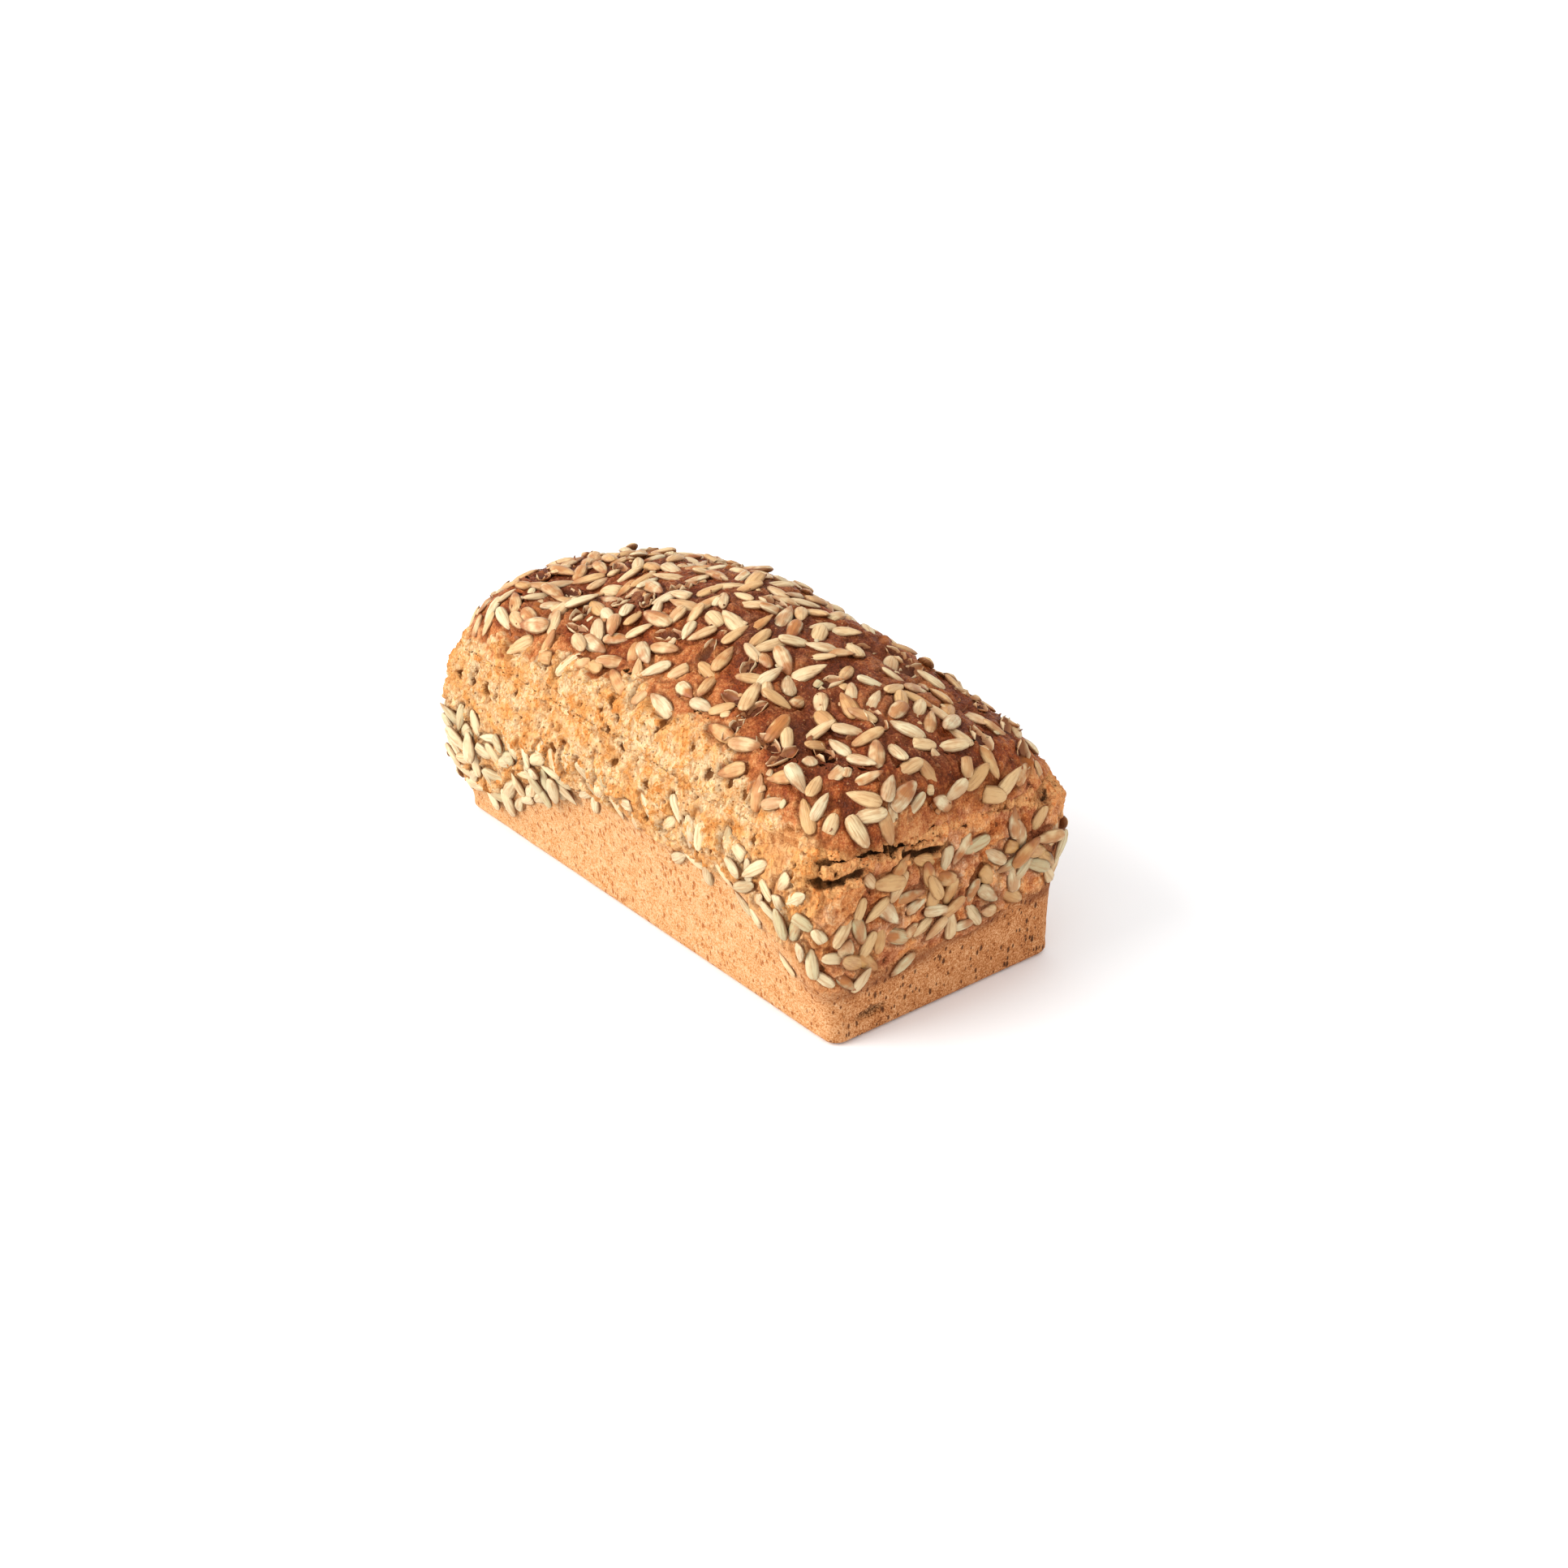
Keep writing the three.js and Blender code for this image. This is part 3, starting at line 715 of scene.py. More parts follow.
def creased(p, size, salt):
    """Noise folded about zero, so that it has sharp ridges: 1 on a ridge and -1 in the widest valleys."""
    return 1 - 2 * np.abs(noise(p, size, salt))


def tin_relief(p):
    """Slow swells and small upright pores."""
    pores = pits(p, 3.4, (0.5, 1.0), 0.6, 10, stretch=(1, 1, 1.7))
    return 0.3 * noise(p, 19, 1) + 0.1 * noise(p, 5, 2) + 0.08 * noise(p, 1.7, 3) - 0.55 * pores


def crumb_swells(p):
    return 0.9 * noise(p, 12, 5) + 0.55 * noise(p, 5, 6) + 0.3 * noise(p, 2.2, 7)


def torn_places(p):
    """Points pushed about by noise of two sizes, so that what is built on them is ragged."""
    bent = p + 0.9 * np.stack([noise(p, 3.4, salt) for salt in (12, 13, 14)], -1)
    return bent + 0.35 * np.stack([noise(p, 1.2, salt) for salt in (71, 72, 73)], -1)


def crumb_sponge(p):
    """Walls between bubbles of two sizes, ragged ridges and flaps."""
    bent = torn_places(p)
    tall = (1, 1, 1.6)
    return (
        1.1 * walls(bent, 3.9, 20, tall) ** 2
        + 0.8 * walls(bent, 2.0, 24, tall) ** 2
        + 0.55 * smooth(-0.08, 0.08, noise(bent, 3.3, 78))
        + 0.5 * creased(bent, 1.7, 74)
        + 0.2 * noise(p, 1.1, 82)
    )


def burst_bubbles(p):
    """Bubbles that burst wide open: big ones, and many small ones."""
    bent = torn_places(p)
    big = pits(bent, 6.5, (0.8, 1.9), 0.5, 30, (1, 1, 1.7), 0.7)
    return np.maximum(big, 0.75 * pits(bent, 3.2, (0.4, 0.9), 0.5, 36, (1, 1, 1.7), 0.7))


def skin_relief(p):
    """Swells, wrinkles, and a few pores."""
    return (
        0.7 * noise(p, 11, 9)
        + 0.5 * noise(p, 4.6, 11)
        + 0.6 * creased(p, 2.4, 8)
        + 0.55 * smooth(-0.08, 0.08, noise(p, 3.6, 79))
        + 0.4 * noise(p, 1.3, 15)
        - 1.4 * pits(p, 4.4, (0.5, 1.3), 0.5, 46, (1, 1, 1), 0.8)
    )


def cap_relief(p):
    """As the skin, with wrinkles along the loaf, and flakes whose edges stand up as small steps."""
    bent = p + 0.8 * np.stack([noise(p, 3, salt) for salt in (75, 76, 77)], -1)
    return (
        0.5 * noise(p, 17, 17)
        + 0.36 * noise(p, 6.5, 18)
        + 0.24 * noise(p, 2.8, 19)
        + 0.28 * creased(bent * [1, 1.6, 1], 2.2, 16)
        + 0.34 * smooth(-0.1, 0.1, noise(bent, 4, 22))
        + 0.24 * noise(p, 1.2, 21)
        - 0.7 * pits(bent, 5, (0.5, 1.3), 0.45, 50)
    )


def evened(values, mask):
    """Values with the mean and spread of their zone taken out, so that 0.5 is usual and 0 and 1 are rare."""
    mean, spread = values[mask > 0.5].mean(), values[mask > 0.5].std()
    return np.clip(0.5 + 0.25 * (values - mean) / spread, 0, 1)


tin = (1 - torn) * (1 - baked)
tin_part, skin_part = where(tin, tin_relief), where(closed_skin, skin_relief)
swell_part, sponge_part = where(crumb, crumb_swells), where(crumb, crumb_sponge)
burst = crumb * where(crumb, burst_bubbles)
cap_part = where(baked, cap_relief)
relief = tin * tin_part + closed_skin * skin_part + crumb * (swell_part + sponge_part) + baked * cap_part
# Rise is how high the relief stands within its zone. The colours use it for painted shade in the hollows and, on
# skin and cap, painted highlight on the crests.
rise = tin * evened(tin_part, tin) + closed_skin * evened(skin_part, closed_skin)
rise += crumb * evened(sponge_part + 0.3 * swell_part, crumb) + baked * evened(cap_part, baked)

# Round the loaf: place, height in millimetres of a row of deep holes below the cap's edge on the left.
HOLE_ROW = [(0, 54), (0.14, 56.5), (0.25, 61), (0.3, 66), (0.36, 70.5), (0.5, 73), (0.66, 74), (0.72, 70.5),
            (0.8, 68.5), (0.92, 65)]  # fmt: skip
HOLE_DEPTH = 2.8
BURST_DEPTH = 1.9
CHIPS = {"depth": 0.7, "begin_at": 6, "full_at": 2}
LEDGE = {"rise": 0.5, "above_crack": 3, "half_height": 1.5}
TIN_DENT = {"y": -28, "z": 10.2, "half_length": 8, "half_height": 2.3, "depth": 1.1}

side_s, side_t = square_at(place_u)
notch_depth = from_corners(NOTCH["depth"], side_s, side_t)
notch_depth *= mix(NOTCH["along_sides"], 1, smooth(NOTCH["ends_from"], 1, np.abs(side_s)))
from_rim = from_corners(CRACK, side_s, side_t) - rim_height(side_s, side_t)
above_crack = (place_level - 2) * np.where(place_level < 2, from_rim, LIP["rise"])
above_crack += SHOULDER["radius"] * np.maximum(place_level - 3, 0)
notch_depth *= mix(1, NOTCH_FILLED, smooth(NOTCH["ends_from"], 1, np.abs(side_s)))
hole_row = bump(points[:, 2] - between(HOLE_ROW, place_u), 5) * (place_u < 0.93) * (place_u > 0)
holes = where(crumb * hole_row, lambda p: pits(torn_places(p), 5, (0.9, 2.2), 0.75, 80, (1, 1, 1.4), 0.7))
relief -= HOLE_DEPTH * hole_row * crumb * holes
# A crease in the dough left a long shallow dent low on the near wall.
to_dent = np.hypot((points[:, 1] - TIN_DENT["y"]) / TIN_DENT["half_length"],
                   (points[:, 2] - TIN_DENT["z"] - 0.08 * points[:, 1]) / TIN_DENT["half_height"])  # fmt: skip
tin_dent = np.clip(1 - to_dent**2, 0, 1) * (points[:, 0] > 80)
relief -= TIN_DENT["depth"] * tin_dent
relief += notch_depth * bump(above_crack, NOTCH["half_height"])
relief += LEDGE["rise"] * bump(above_crack - LEDGE["above_crack"], LEDGE["half_height"])
# The edge of the foot is chipped.
at_foot = smooth(CHIPS["begin_at"], CHIPS["full_at"], points[:, 2])
chips = where(at_foot * tin, lambda p: pits(p, 7, (0.9, 2.6), 0.6, 90, (1, 1, 1), 0.8))
relief -= CHIPS["depth"] * chips * at_foot
relief -= FISSURE["depth"] * crevice + BURST_DEPTH * burst
# Hollow marks painted shade: burst bubbles, the fissures, the low parts of closed skin, the row of deep holes and
# the tin's dent are darkened in the colour.
hollow = np.maximum(smooth(0.1, 0.8, burst), smooth(0.12, 0.6, crevice))
hollow = np.maximum(hollow, 0.5 * closed_skin * smooth(-0.2, -0.9, skin_part))
hollow = np.maximum(hollow, np.maximum(hole_row * crumb * smooth(0.05, 0.6, holes), 0.6 * tin_dent))
rim_shade = bump(place_level - 0.97 - 0.12 * ragged, 0.13) * smooth(-0.6, 0.3, noise(points, 14, 81)) * brown
print(f"relief from {relief.min():.1f} to {relief.max():.1f} mm")

# %% [markdown]
# ## Dents and swellings round the kernels
#
# Dough closes round a kernel that is pressed into it, so the crust has a fine crease along the kernel's edge and
# a low swell outside it. Kernels that fell off left dents. A few lie under the skin, which bulges over them and
# lets their amber colour through. Dents could be cut with copies of the kernels, but a boolean leaves hard edges.
# All of them come from one number instead, the distance to an ellipse of the kernel's size.

# %% Creases, dents and buried kernels
LOST = {"name": "lost", "seed": 305, "count": 130, "levels": (3.45, 4.9), "gap": 6.5, "widest": 6000}
MORE = {"name": "more", "seed": 321, "count": 400, "levels": (3.1, 4.9), "gap": 4.4, "widest": 5000}
BURIED = {"name": "buried", "seed": 309, "count": 26, "levels": (2.6, 4.6), "gap": 14, "widest": 8000}
STRAYS = {"seed": 303, "near_line": (0.78, 1.25)}
STRAY_U = [0.50, 0.545, 0.64, 0.68, 0.71, 0.765, 0.8, 0.83, 0.9, 0.42, 0.33, 1.3, 1.55, 2.2, 2.35, 2.5, 2.7, 2.9,
           3.2, 3.4, 3.6, 3.8]  # fmt: skip
CREASE = {"depth": 0.42, "width": 0.17, "swell": 0.07, "swell_at": 1.5, "swell_width": 0.3}
LOST_DENT = 1.0
LOST_EDGE = 0.3
BURIED_SWELL = 0.9
# Millimetres that each kind keeps from the middles of those before it, and levels above the cap's edge.
CLEAR = {"lost": 4.3, "more": 4.9, "buried": 4.6, "edge": 0.3}


def placed(u, level, seed):
    """Kernels at given places, with their sizes and turns drawn as the thrown ones have them."""
    spots = skin_frame(np.array(u), np.array(level))
    draws = random_numbers(seed, 6 * len(u)).reshape(6, -1)
    length = mix(*KERNEL["length"], 0.7 * draws[0])
    width = length * mix(*KERNEL["width"], draws[1])
    thickness = width * mix(*KERNEL["thickness"], draws[2])
    height = thickness * (0.5 - mix(*KERNEL["sink"], 0.6 + 0.8 * draws[3]))
    return {**spots, "length": length, "width": width, "thickness": thickness, "height": height,
            "turn": 2 * np.pi * draws[4], "pitch": 0.1 * (2 * draws[5] - 1)}  # fmt: skip


def only(things, chosen):
    return {name: values[chosen] for name, values in things.items()}


def clear_of(things, others, gap):
    """Things whose middles are further than a gap from those of others."""
    away = [np.linalg.norm(others["point"] - spot, axis=-1).min() > gap for spot in things["point"]]
    return only(things, np.array(away))


def ellipse_distance(things):
    """For each point of the crust, the distance to the nearest thing, where 1 is the edge of its outline."""
    nearest = np.full(len(points), 9.0)
    centres, axes = frames_of(things)
    for i, centre in enumerate(centres):
        near = np.flatnonzero(np.abs(points - centre).max(-1) < things["length"][i])
        local = (points[near] - centre) @ axes[i].T * 2
        distance = np.hypot(local[:, 0] / things["length"][i], local[:, 1] / things["width"][i])
        nearest[near] = np.minimum(nearest[near], distance)
    return nearest


stray_level = mix(*STRAYS["near_line"], random_numbers(STRAYS["seed"], len(STRAY_U)))
strays = placed(STRAY_U, stray_level, STRAYS["seed"] + 1)
all_kernels = joined([beds["top"], beds["band"], strays])
lost_kernels = clear_of(scatter(LOST), all_kernels, CLEAR["lost"])
lost_kernels = only(lost_kernels, lost_kernels["level"] > between(CAP_EDGE, lost_kernels["u"]) + CLEAR["edge"])
more_kernels = clear_of(scatter(MORE), joined([all_kernels, lost_kernels]), CLEAR["more"])
all_kernels = joined([all_kernels, more_kernels])
buried_kernels = clear_of(scatter(BURIED), all_kernels, CLEAR["buried"])
to_kernel, to_lost = ellipse_distance(all_kernels), ellipse_distance(lost_kernels)
to_buried = ellipse_distance(buried_kernels)

crease = bump(to_kernel - 1.02, CREASE["width"])
swell = bump(to_kernel - CREASE["swell_at"], CREASE["swell_width"])
dent = np.clip(1 - to_lost**4, 0, 1)
dent_edge = bump(to_lost - 1.08, 0.16)
amber = np.clip(1 - to_buried**2, 0, 1) ** 0.7
above_rim = smooth(0.7, 1.0, place_level)
# Close to a kernel the crust was pressed flatter.
relief *= mix(0.45, 1, smooth(0.95, 1.3, to_kernel))
relief += above_rim * (CREASE["swell"] * swell - CREASE["depth"] * crease)
relief += LOST_EDGE * dent_edge - LOST_DENT * dent + BURIED_SWELL * amber
counts = [len(things["length"]) for things in (more_kernels, lost_kernels, buried_kernels)]
print("{} more kernels, {} dents, {} buried".format(*counts))

# %% [markdown]
# ## From arrays to meshes
#
# The relief moves each point along the normal of the smooth form. Normals could be asked of Blender after the
# mesh is made, but then the mesh would be made twice. Here they are the sum of the faces' normals at each point.
# The five pieces of the crust take their shading normals from the whole surface, so no seam shows where they
# meet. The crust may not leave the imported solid's box, because Blender may change looks and not sizes.


# %% Normals and the mesh maker
def point_normals(places, quads):
    """Unit normals: the cross product of each face's diagonals, added up at its four corners."""
    diagonals = np.cross(places[quads[:, 2]] - places[quads[:, 0]], places[quads[:, 3]] - places[quads[:, 1]])
    total = np.zeros_like(places)
    for corner in range(4):
        for axis in range(3):
            total[:, axis] += np.bincount(quads[:, corner], diagonals[:, axis], len(places))
    return unit(total + [0, 0, -1e-9])


def make_piece(name, places, face_lists, attributes, normals=None):
    """Puts points in millimetres, faces and attributes by point into a mesh object that rides on the loaf."""
    mesh = bpy.data.meshes.new(name)
    sizes = np.concatenate([np.full(len(faces), faces.shape[1]) for faces in face_lists])
    corners = np.concatenate([faces.ravel() for faces in face_lists])
    mesh.vertices.add(len(places))
    mesh.vertices.foreach_set("co", (places * MM).astype(np.float32).ravel())
    mesh.loops.add(len(corners))
    mesh.loops.foreach_set("vertex_index", corners.astype(np.int32))
    mesh.polygons.add(len(sizes))
    mesh.polygons.foreach_set("loop_start", (np.cumsum(sizes) - sizes).astype(np.int32))
    mesh.polygons.foreach_set("use_smooth", np.ones(len(sizes), bool))
    for attribute, values in attributes.items():
        kind, field = ("FLOAT_VECTOR", "vector") if values.ndim == 2 else ("FLOAT", "value")
        layer = mesh.attributes.new(attribute, kind, "POINT")
        layer.data.foreach_set(field, values.astype(np.float32).ravel())
    mesh.update()
    changed = mesh.validate()
    if normals is not None:
        mesh.normals_split_custom_set_from_vertices(normals)
    piece = bpy.data.objects.new(name, mesh)
    bpy.context.collection.objects.link(piece)
    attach(piece, "root")
    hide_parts("loaf")
    print(f"{name}: {len(places)} points, {int((sizes - 2).sum())} triangles, mended: {changed}")
    return piece


# %% The five pieces of the crust
standing = smooth(0, 0.12, place_level)
box_low, box_high = np.array(cad_low) / MM, np.array(cad_high) / MM
crust_places = points + point_normals(points, all_quads) * (relief * standing)[:, None]
crust_places = np.clip(crust_places, box_low, box_high)
crust_places[place_level == 0, 2] = points[place_level == 0, 2]
crust_normals = point_normals(crust_places, all_quads)

crust_looks = {
    "baked": baked,
    "degree": degree,
    "torn": torn,
    "open": open_crumb,
    "crumb": crumb,
    "hollow": hollow,
    "brown": brown,
    # Painted shadow along each kernel's edge, and darker rims round the dents.
    "crease": np.maximum(crease * above_rim, 0.7 * dent_edge),
    "dent": dent,
    "amber": amber,
    "rise": rise,
    "rim_shade": rim_shade,
}


def crust_piece(name, face_lists):
    """One closed piece of the crust: the points that its faces use, with their looks and normals."""
    used = np.unique(np.concatenate([faces.ravel() for faces in face_lists]))
    number = np.zeros(len(crust_places), int)
    number[used] = np.arange(len(used))
    looks = {look: values[used] for look, values in crust_looks.items()}
    faces = [number[faces] for faces in face_lists]
    return make_piece(name, crust_places[used], faces, looks, crust_normals[used])


def rows_of_quads(first, last):
    return np.concatenate([quads_between(rows[k], rows[k + 1]) for k in range(first, last)])


crust_pieces = []
for k, name in enumerate(["tin_wall", "low_belly", "high_belly", "cap_edge"]):
    first, last = cut_rows[k:k + 2]
    ends = [fan(rows[first], middles[k], True), fan(rows[last], middles[k + 1], False)]
    crust_pieces.append(crust_piece(name, [rows_of_quads(first, last), *ends]))
crust_pieces.append(crust_piece("crown", [crown_quads, fan(rows[-1], middles[-1], True)]))

# %% [markdown]
# ## The kernels
#
# A shelled sunflower kernel is a flat drop: broad and blunt at one end, pointed at the other, about twice as long
# as wide, with soft ridges along it. One drop could be modelled and copied, but real kernels are all different.
# One formula makes them all at once, with the fullness of both ends, a bend and a break drawn for each.

# %% The drops of all kernels in one array
STATIONS = np.array([0.025, 0.11, 0.3, 0.54, 0.76, 0.92])
SIDES = 8
RIDGE = 0.1
PLUMP = 0.86
SLIM = 1.02


def drop_mesh(things, blunt, tip, bend, cut, seed):
    """Points, faces and attributes of drops.

    Along a drop the half-width is the place to the power blunt, times what is left to the power tip, over its
    peak. Round it the section is an ellipse with ridges. A cut below 1 ends the drop there, as if it broke."""
    count = len(cut)
    place = STATIONS[None, :] * cut[:, None]
    blunt, tip = np.broadcast_to(blunt, count)[:, None], np.broadcast_to(tip, count)[:, None]
    widest = blunt / (blunt + tip)
    half = (place / widest) ** blunt * ((1 - place) / (1 - widest)) ** tip / 2
    angle = 2 * np.pi * np.arange(SIDES) / SIDES
    ridge = 1 + RIDGE * np.cos(4 * angle)
    curve = bend[:, None] * ((place - 0.5) ** 2 - 0.08)
    x = np.repeat((place - 0.5 * cut[:, None])[..., None], SIDES, 2)
    wobble = 1 + 0.09 * (random_numbers(seed, x.size).reshape(x.shape) - 0.5)
    y = half[..., None] * np.cos(angle) * wobble
    z = half[..., None] * np.sin(angle) * ridge * wobble
    body = np.stack([
        x * things["length"][:, None, None],
        y * SLIM * things["width"][:, None, None] + (curve * things["length"][:, None])[..., None],
        z * PLUMP * things["thickness"][:, None, None],
    ], -1).reshape(count, -1, 3)  # fmt: skip
    ends = np.zeros((count, 2, 3))
    ends[:, 0, 0] = -0.5 * cut * things["length"]
    ends[:, 1, 0] = 0.5 * cut * things["length"]
    end_place = np.stack([0 * cut, cut], 1)
    ends[:, :, 1] = (bend * things["length"])[:, None] * ((end_place - 0.5) ** 2 - 0.08)
    local = np.concatenate([body, ends], 1)
    centre, axes = frames_of(things)
    places = np.einsum("kvi,kij->kvj", local, axes) + centre[:, None]
    over = np.maximum(places - box_high, 0).max(1) - np.maximum(box_low - places, 0).max(1)
    places = places - over[:, None]

    rings = np.arange(len(STATIONS) * SIDES).reshape(-1, SIDES)
    quads = np.concatenate([quads_between(low, high) for low, high in zip(rings[:-1], rings[1:])])
    fans = np.concatenate([fan(rings[0], rings.size, True), fan(rings[-1], rings.size + 1, False)])
    per_drop = rings.size + 2
    starts = (np.arange(count) * per_drop)[:, None, None]
    share = np.concatenate([np.repeat(place, SIDES, 1), end_place], 1)
    rim = np.concatenate([np.tile(np.abs(np.cos(angle)), (count, len(STATIONS))), np.ones((count, 2))], 1)
    top = np.concatenate([np.tile(np.sin(angle), (count, len(STATIONS))), np.zeros((count, 2))], 1)
    drift = 40 * random_numbers(seed + 1, count * 3).reshape(count, 1, 3)
    return {
        "places": places.reshape(-1, 3),
        "faces": [(quads[None] + starts).reshape(-1, 4), (fans[None] + starts).reshape(-1, 3)],
        "looks": {"grain": (local + drift).reshape(-1, 3), "share": share.ravel(), "rim": rim.ravel(),
                  "top": top.ravel()},
        "per_drop": per_drop,
    }


def drops_piece(name, drops, tone, toast):
    """A piece of many drops, with one tone and one toast for each."""
    looks = {
        "tone": np.repeat(tone, drops["per_drop"]),
        "toast": np.repeat(toast, drops["per_drop"]),
        **drops["looks"],
    }
    return make_piece(name, drops["places"], drops["faces"], looks)


# Exponents of both ends, sideways bend, share of broken kernels, and where a broken one ends.
DROP = {"blunt": (0.34, 0.48), "tip": (0.5, 0.92), "bend": (-0.08, 0.08), "broken": 0.1, "cut": (0.5, 0.78)}

kernel_count = len(all_kernels["length"])
luck = random_numbers(77, 8 * kernel_count).reshape(8, kernel_count)
drops = drop_mesh(
    all_kernels,
    blunt=mix(*DROP["blunt"], luck[6]),
    tip=mix(*DROP["tip"], luck[2]),
    bend=mix(*DROP["bend"], luck[3]),
    cut=np.where(luck[0] < DROP["broken"], mix(*DROP["cut"], luck[1]), 1),
    seed=78,
)

# Tone 0 is a toasted tan kernel, 0.5 a cream one and 1 a pale grey-green one. The left cluster is the palest.
kernel_u, kernel_level = all_kernels["u"], all_kernels["level"]
on_top = kernel_level > 2.5
on_left = ~on_top & (kernel_u < 1.03)
tone = np.where(on_top, mix(0.1, 0.85, luck[4]), mix(0.0, 1.0, luck[4] ** 0.8))
tone = np.where(on_left, mix(0.55, 1.0, luck[4]), tone)
toast = np.where(on_top, mix(0.1, 1.0, luck[5] ** 1.3), mix(0.15, 1.0, luck[5] ** 1.3))
toast = np.where(on_left, 0.3 * luck[5], toast)
kernels = drops_piece("sunflower_kernels", drops, tone, toast)

# %% [markdown]
# ## Broken bits
#
# Among the whole kernels lie pieces of them, 2 to 5 mm across. They could be cut from whole kernels, but a drop
# can also end early by its own formula, so the bits are the same drops, short and thick.

# %% Bits of kernels
BITS = {"name": "bits", "seed": 411, "count": 90, "levels": (3.1, 4.95), "gap": 5.0, "widest": 8000}
BIT = {"size": (0.26, 0.62), "width": (0.4, 0.75), "thickness": 0.55, "height": 0.12, "blunt": 0.3,
       "tip": (0.4, 0.8), "cut": (0.45, 0.75)}  # fmt: skip

bits = scatter(BITS)
bit_luck = random_numbers(413, 6 * len(bits["length"])).reshape(6, -1)
bits["length"] = bits["length"] * mix(*BIT["size"], bit_luck[0] ** 1.5)
bits["width"] = bits["length"] * mix(*BIT["width"], bit_luck[1])
bits["thickness"] = bits["width"] * BIT["thickness"]
bits["height"] = bits["thickness"] * BIT["height"]
bit_cut = mix(*BIT["cut"], bit_luck[2])
bit_drops = drop_mesh(bits, BIT["blunt"], mix(*BIT["tip"], bit_luck[3]), 0 * bit_cut, bit_cut, 414)
crumbs = drops_piece("kernel_bits", bit_drops, mix(0.1, 1.0, bit_luck[4]), mix(0.1, 0.9, bit_luck[5]))

# %% [markdown]
# ## Husks of the kernels that fell off
#
# Where a kernel came off the hot crust, its papery skin stayed behind like an empty boat with a ragged rim, and
# shreds of it lie about. Flat cards would have no thickness, so a husk is a profile carried along a path. The
# profile is an arc with a thickness, out along its outer side and back along the inner one, and it ends at a
# different ragged height at each step.

# %% Husks as open shells
# The shell's thickness, and the form of a husk and of a flake: the angles at which the arc may end, the depth as
# a share of the width, and the numbers of steps along and across.
HUSK_THICKNESS = 0.2
HUSK = {"ends": (1.0, 2.3), "depth": 0.42, "steps": 8, "sweep": 5}
FLAKE = {"ends": (0.25, 1.1), "depth": 0.3, "steps": 4, "sweep": 3}
FLAKES = {"name": "flakes", "seed": 431, "count": 190, "levels": (3.15, 4.9), "gap": 4.2, "widest": 8000}


def husk_mesh(things, form, seed):
    """Points, faces and looks of husks.

    At each step along the husk, the arc runs from one ragged end angle to the other, measured from straight
    down. The width follows a sine to the power 0.55, and the inner side is offset by the thickness."""
    count, steps, sweep = len(things["length"]), form["steps"], form["sweep"]
    depth = form["depth"] * things["width"]
    place = np.linspace(0.03, 0.97, steps)
    half = np.sin(np.pi * place**0.85) ** 0.55
    ends = mix(*form["ends"], random_numbers(seed, count * steps * 2).reshape(count, steps, 2)) * [-1, 1]
    angle = mix(ends[..., :1], ends[..., 1:], np.linspace(0, 1, sweep))
    angle = np.concatenate([angle, angle[..., ::-1]], -1)
    inset = np.concatenate([np.zeros(sweep), np.full(sweep, HUSK_THICKNESS)])
    radius_y = (half[None, :, None] * things["width"][:, None, None] / 2 - inset).clip(0.02)
    radius_z = (half[None, :, None] * depth[:, None, None] - inset).clip(0.01)
    local = np.stack([
        np.broadcast_to((place - 0.5)[None, :, None] * things["length"][:, None, None], angle.shape),
        radius_y * np.sin(angle),
        -radius_z * np.cos(angle),
    ], -1).reshape(count, -1, 3)  # fmt: skip
    centre, axes = frames_of(things)
    places = np.einsum("kvi,kij->kvj", local, axes) + centre[:, None]
    rings = np.arange(steps * 2 * sweep).reshape(steps, -1)
    quads = np.concatenate([quads_between(low, high) for low, high in zip(rings[:-1], rings[1:])])
    around = np.arange(sweep - 1)
    cap_start = np.stack([around + 1, around, 2 * sweep - 1 - around, 2 * sweep - 2 - around], -1)
    quads = np.concatenate([quads, cap_start, cap_start[:, ::-1] + rings[-1, 0]])
    starts = (np.arange(count) * rings.size)[:, None, None]
    inside = np.tile(np.repeat([0, 1], sweep), count * steps)
    rise = (1 - np.cos(angle)) / 1.6
    tone = np.repeat(random_numbers(seed + 1, count), rings.size)
    looks = {"rise": rise.ravel(), "inside": inside, "tone": tone}
    return np.clip(places, box_low, box_high).reshape(-1, 3), (quads[None] + starts).reshape(-1, 4), looks


husk_beds = {**lost_kernels, "height": 0 * lost_kernels["height"] + 0.5}
husk_places, husk_quads, husk_looks = husk_mesh(husk_beds, HUSK, 501)
husks = make_piece("kernel_husks", husk_places, [husk_quads], husk_looks)

flakes = scatter(FLAKES)
flake_luck = random_numbers(433, 4 * len(flakes["length"])).reshape(4, -1)
flakes["length"] = mix(1.6, 4.4, flake_luck[0] ** 1.6)
flakes["width"] = mix(1.4, 3.2, flake_luck[1])
flakes["height"] = mix(0.25, 0.8, flake_luck[2])
flakes["pitch"] = 1.1 * (2 * flake_luck[3] - 1)
flake_places, flake_quads, flake_looks = husk_mesh(flakes, FLAKE, 511)
husk_flakes = make_piece("husk_flakes", flake_places, [flake_quads], flake_looks)

# %% [markdown]
# ## Materials
#
# A material is a small network of nodes. It could be built by hand and stored in a file, but then its numbers
# could not be read here. One function adds a node, its settings and its links. Patterns that are added up, and
# colours that lie over each other, come from tables. Colours are written as the sRGB hex values that a painter
# would pick, and one function turns them into the linear values that a shader reckons with.


# %% Colours and nodes
def linear(hex_colour):
    """sRGB hex to linear: each channel is the standard straight foot or the 2.4 power above it."""
    channels = np.array([int(hex_colour[i:i + 2], 16) for i in (1, 3, 5)]) / 255
    low, high = channels / 12.92, ((channels + 0.055) / 1.055) ** 2.4
    return (*np.where(channels <= 0.04045, low, high), 1.0)


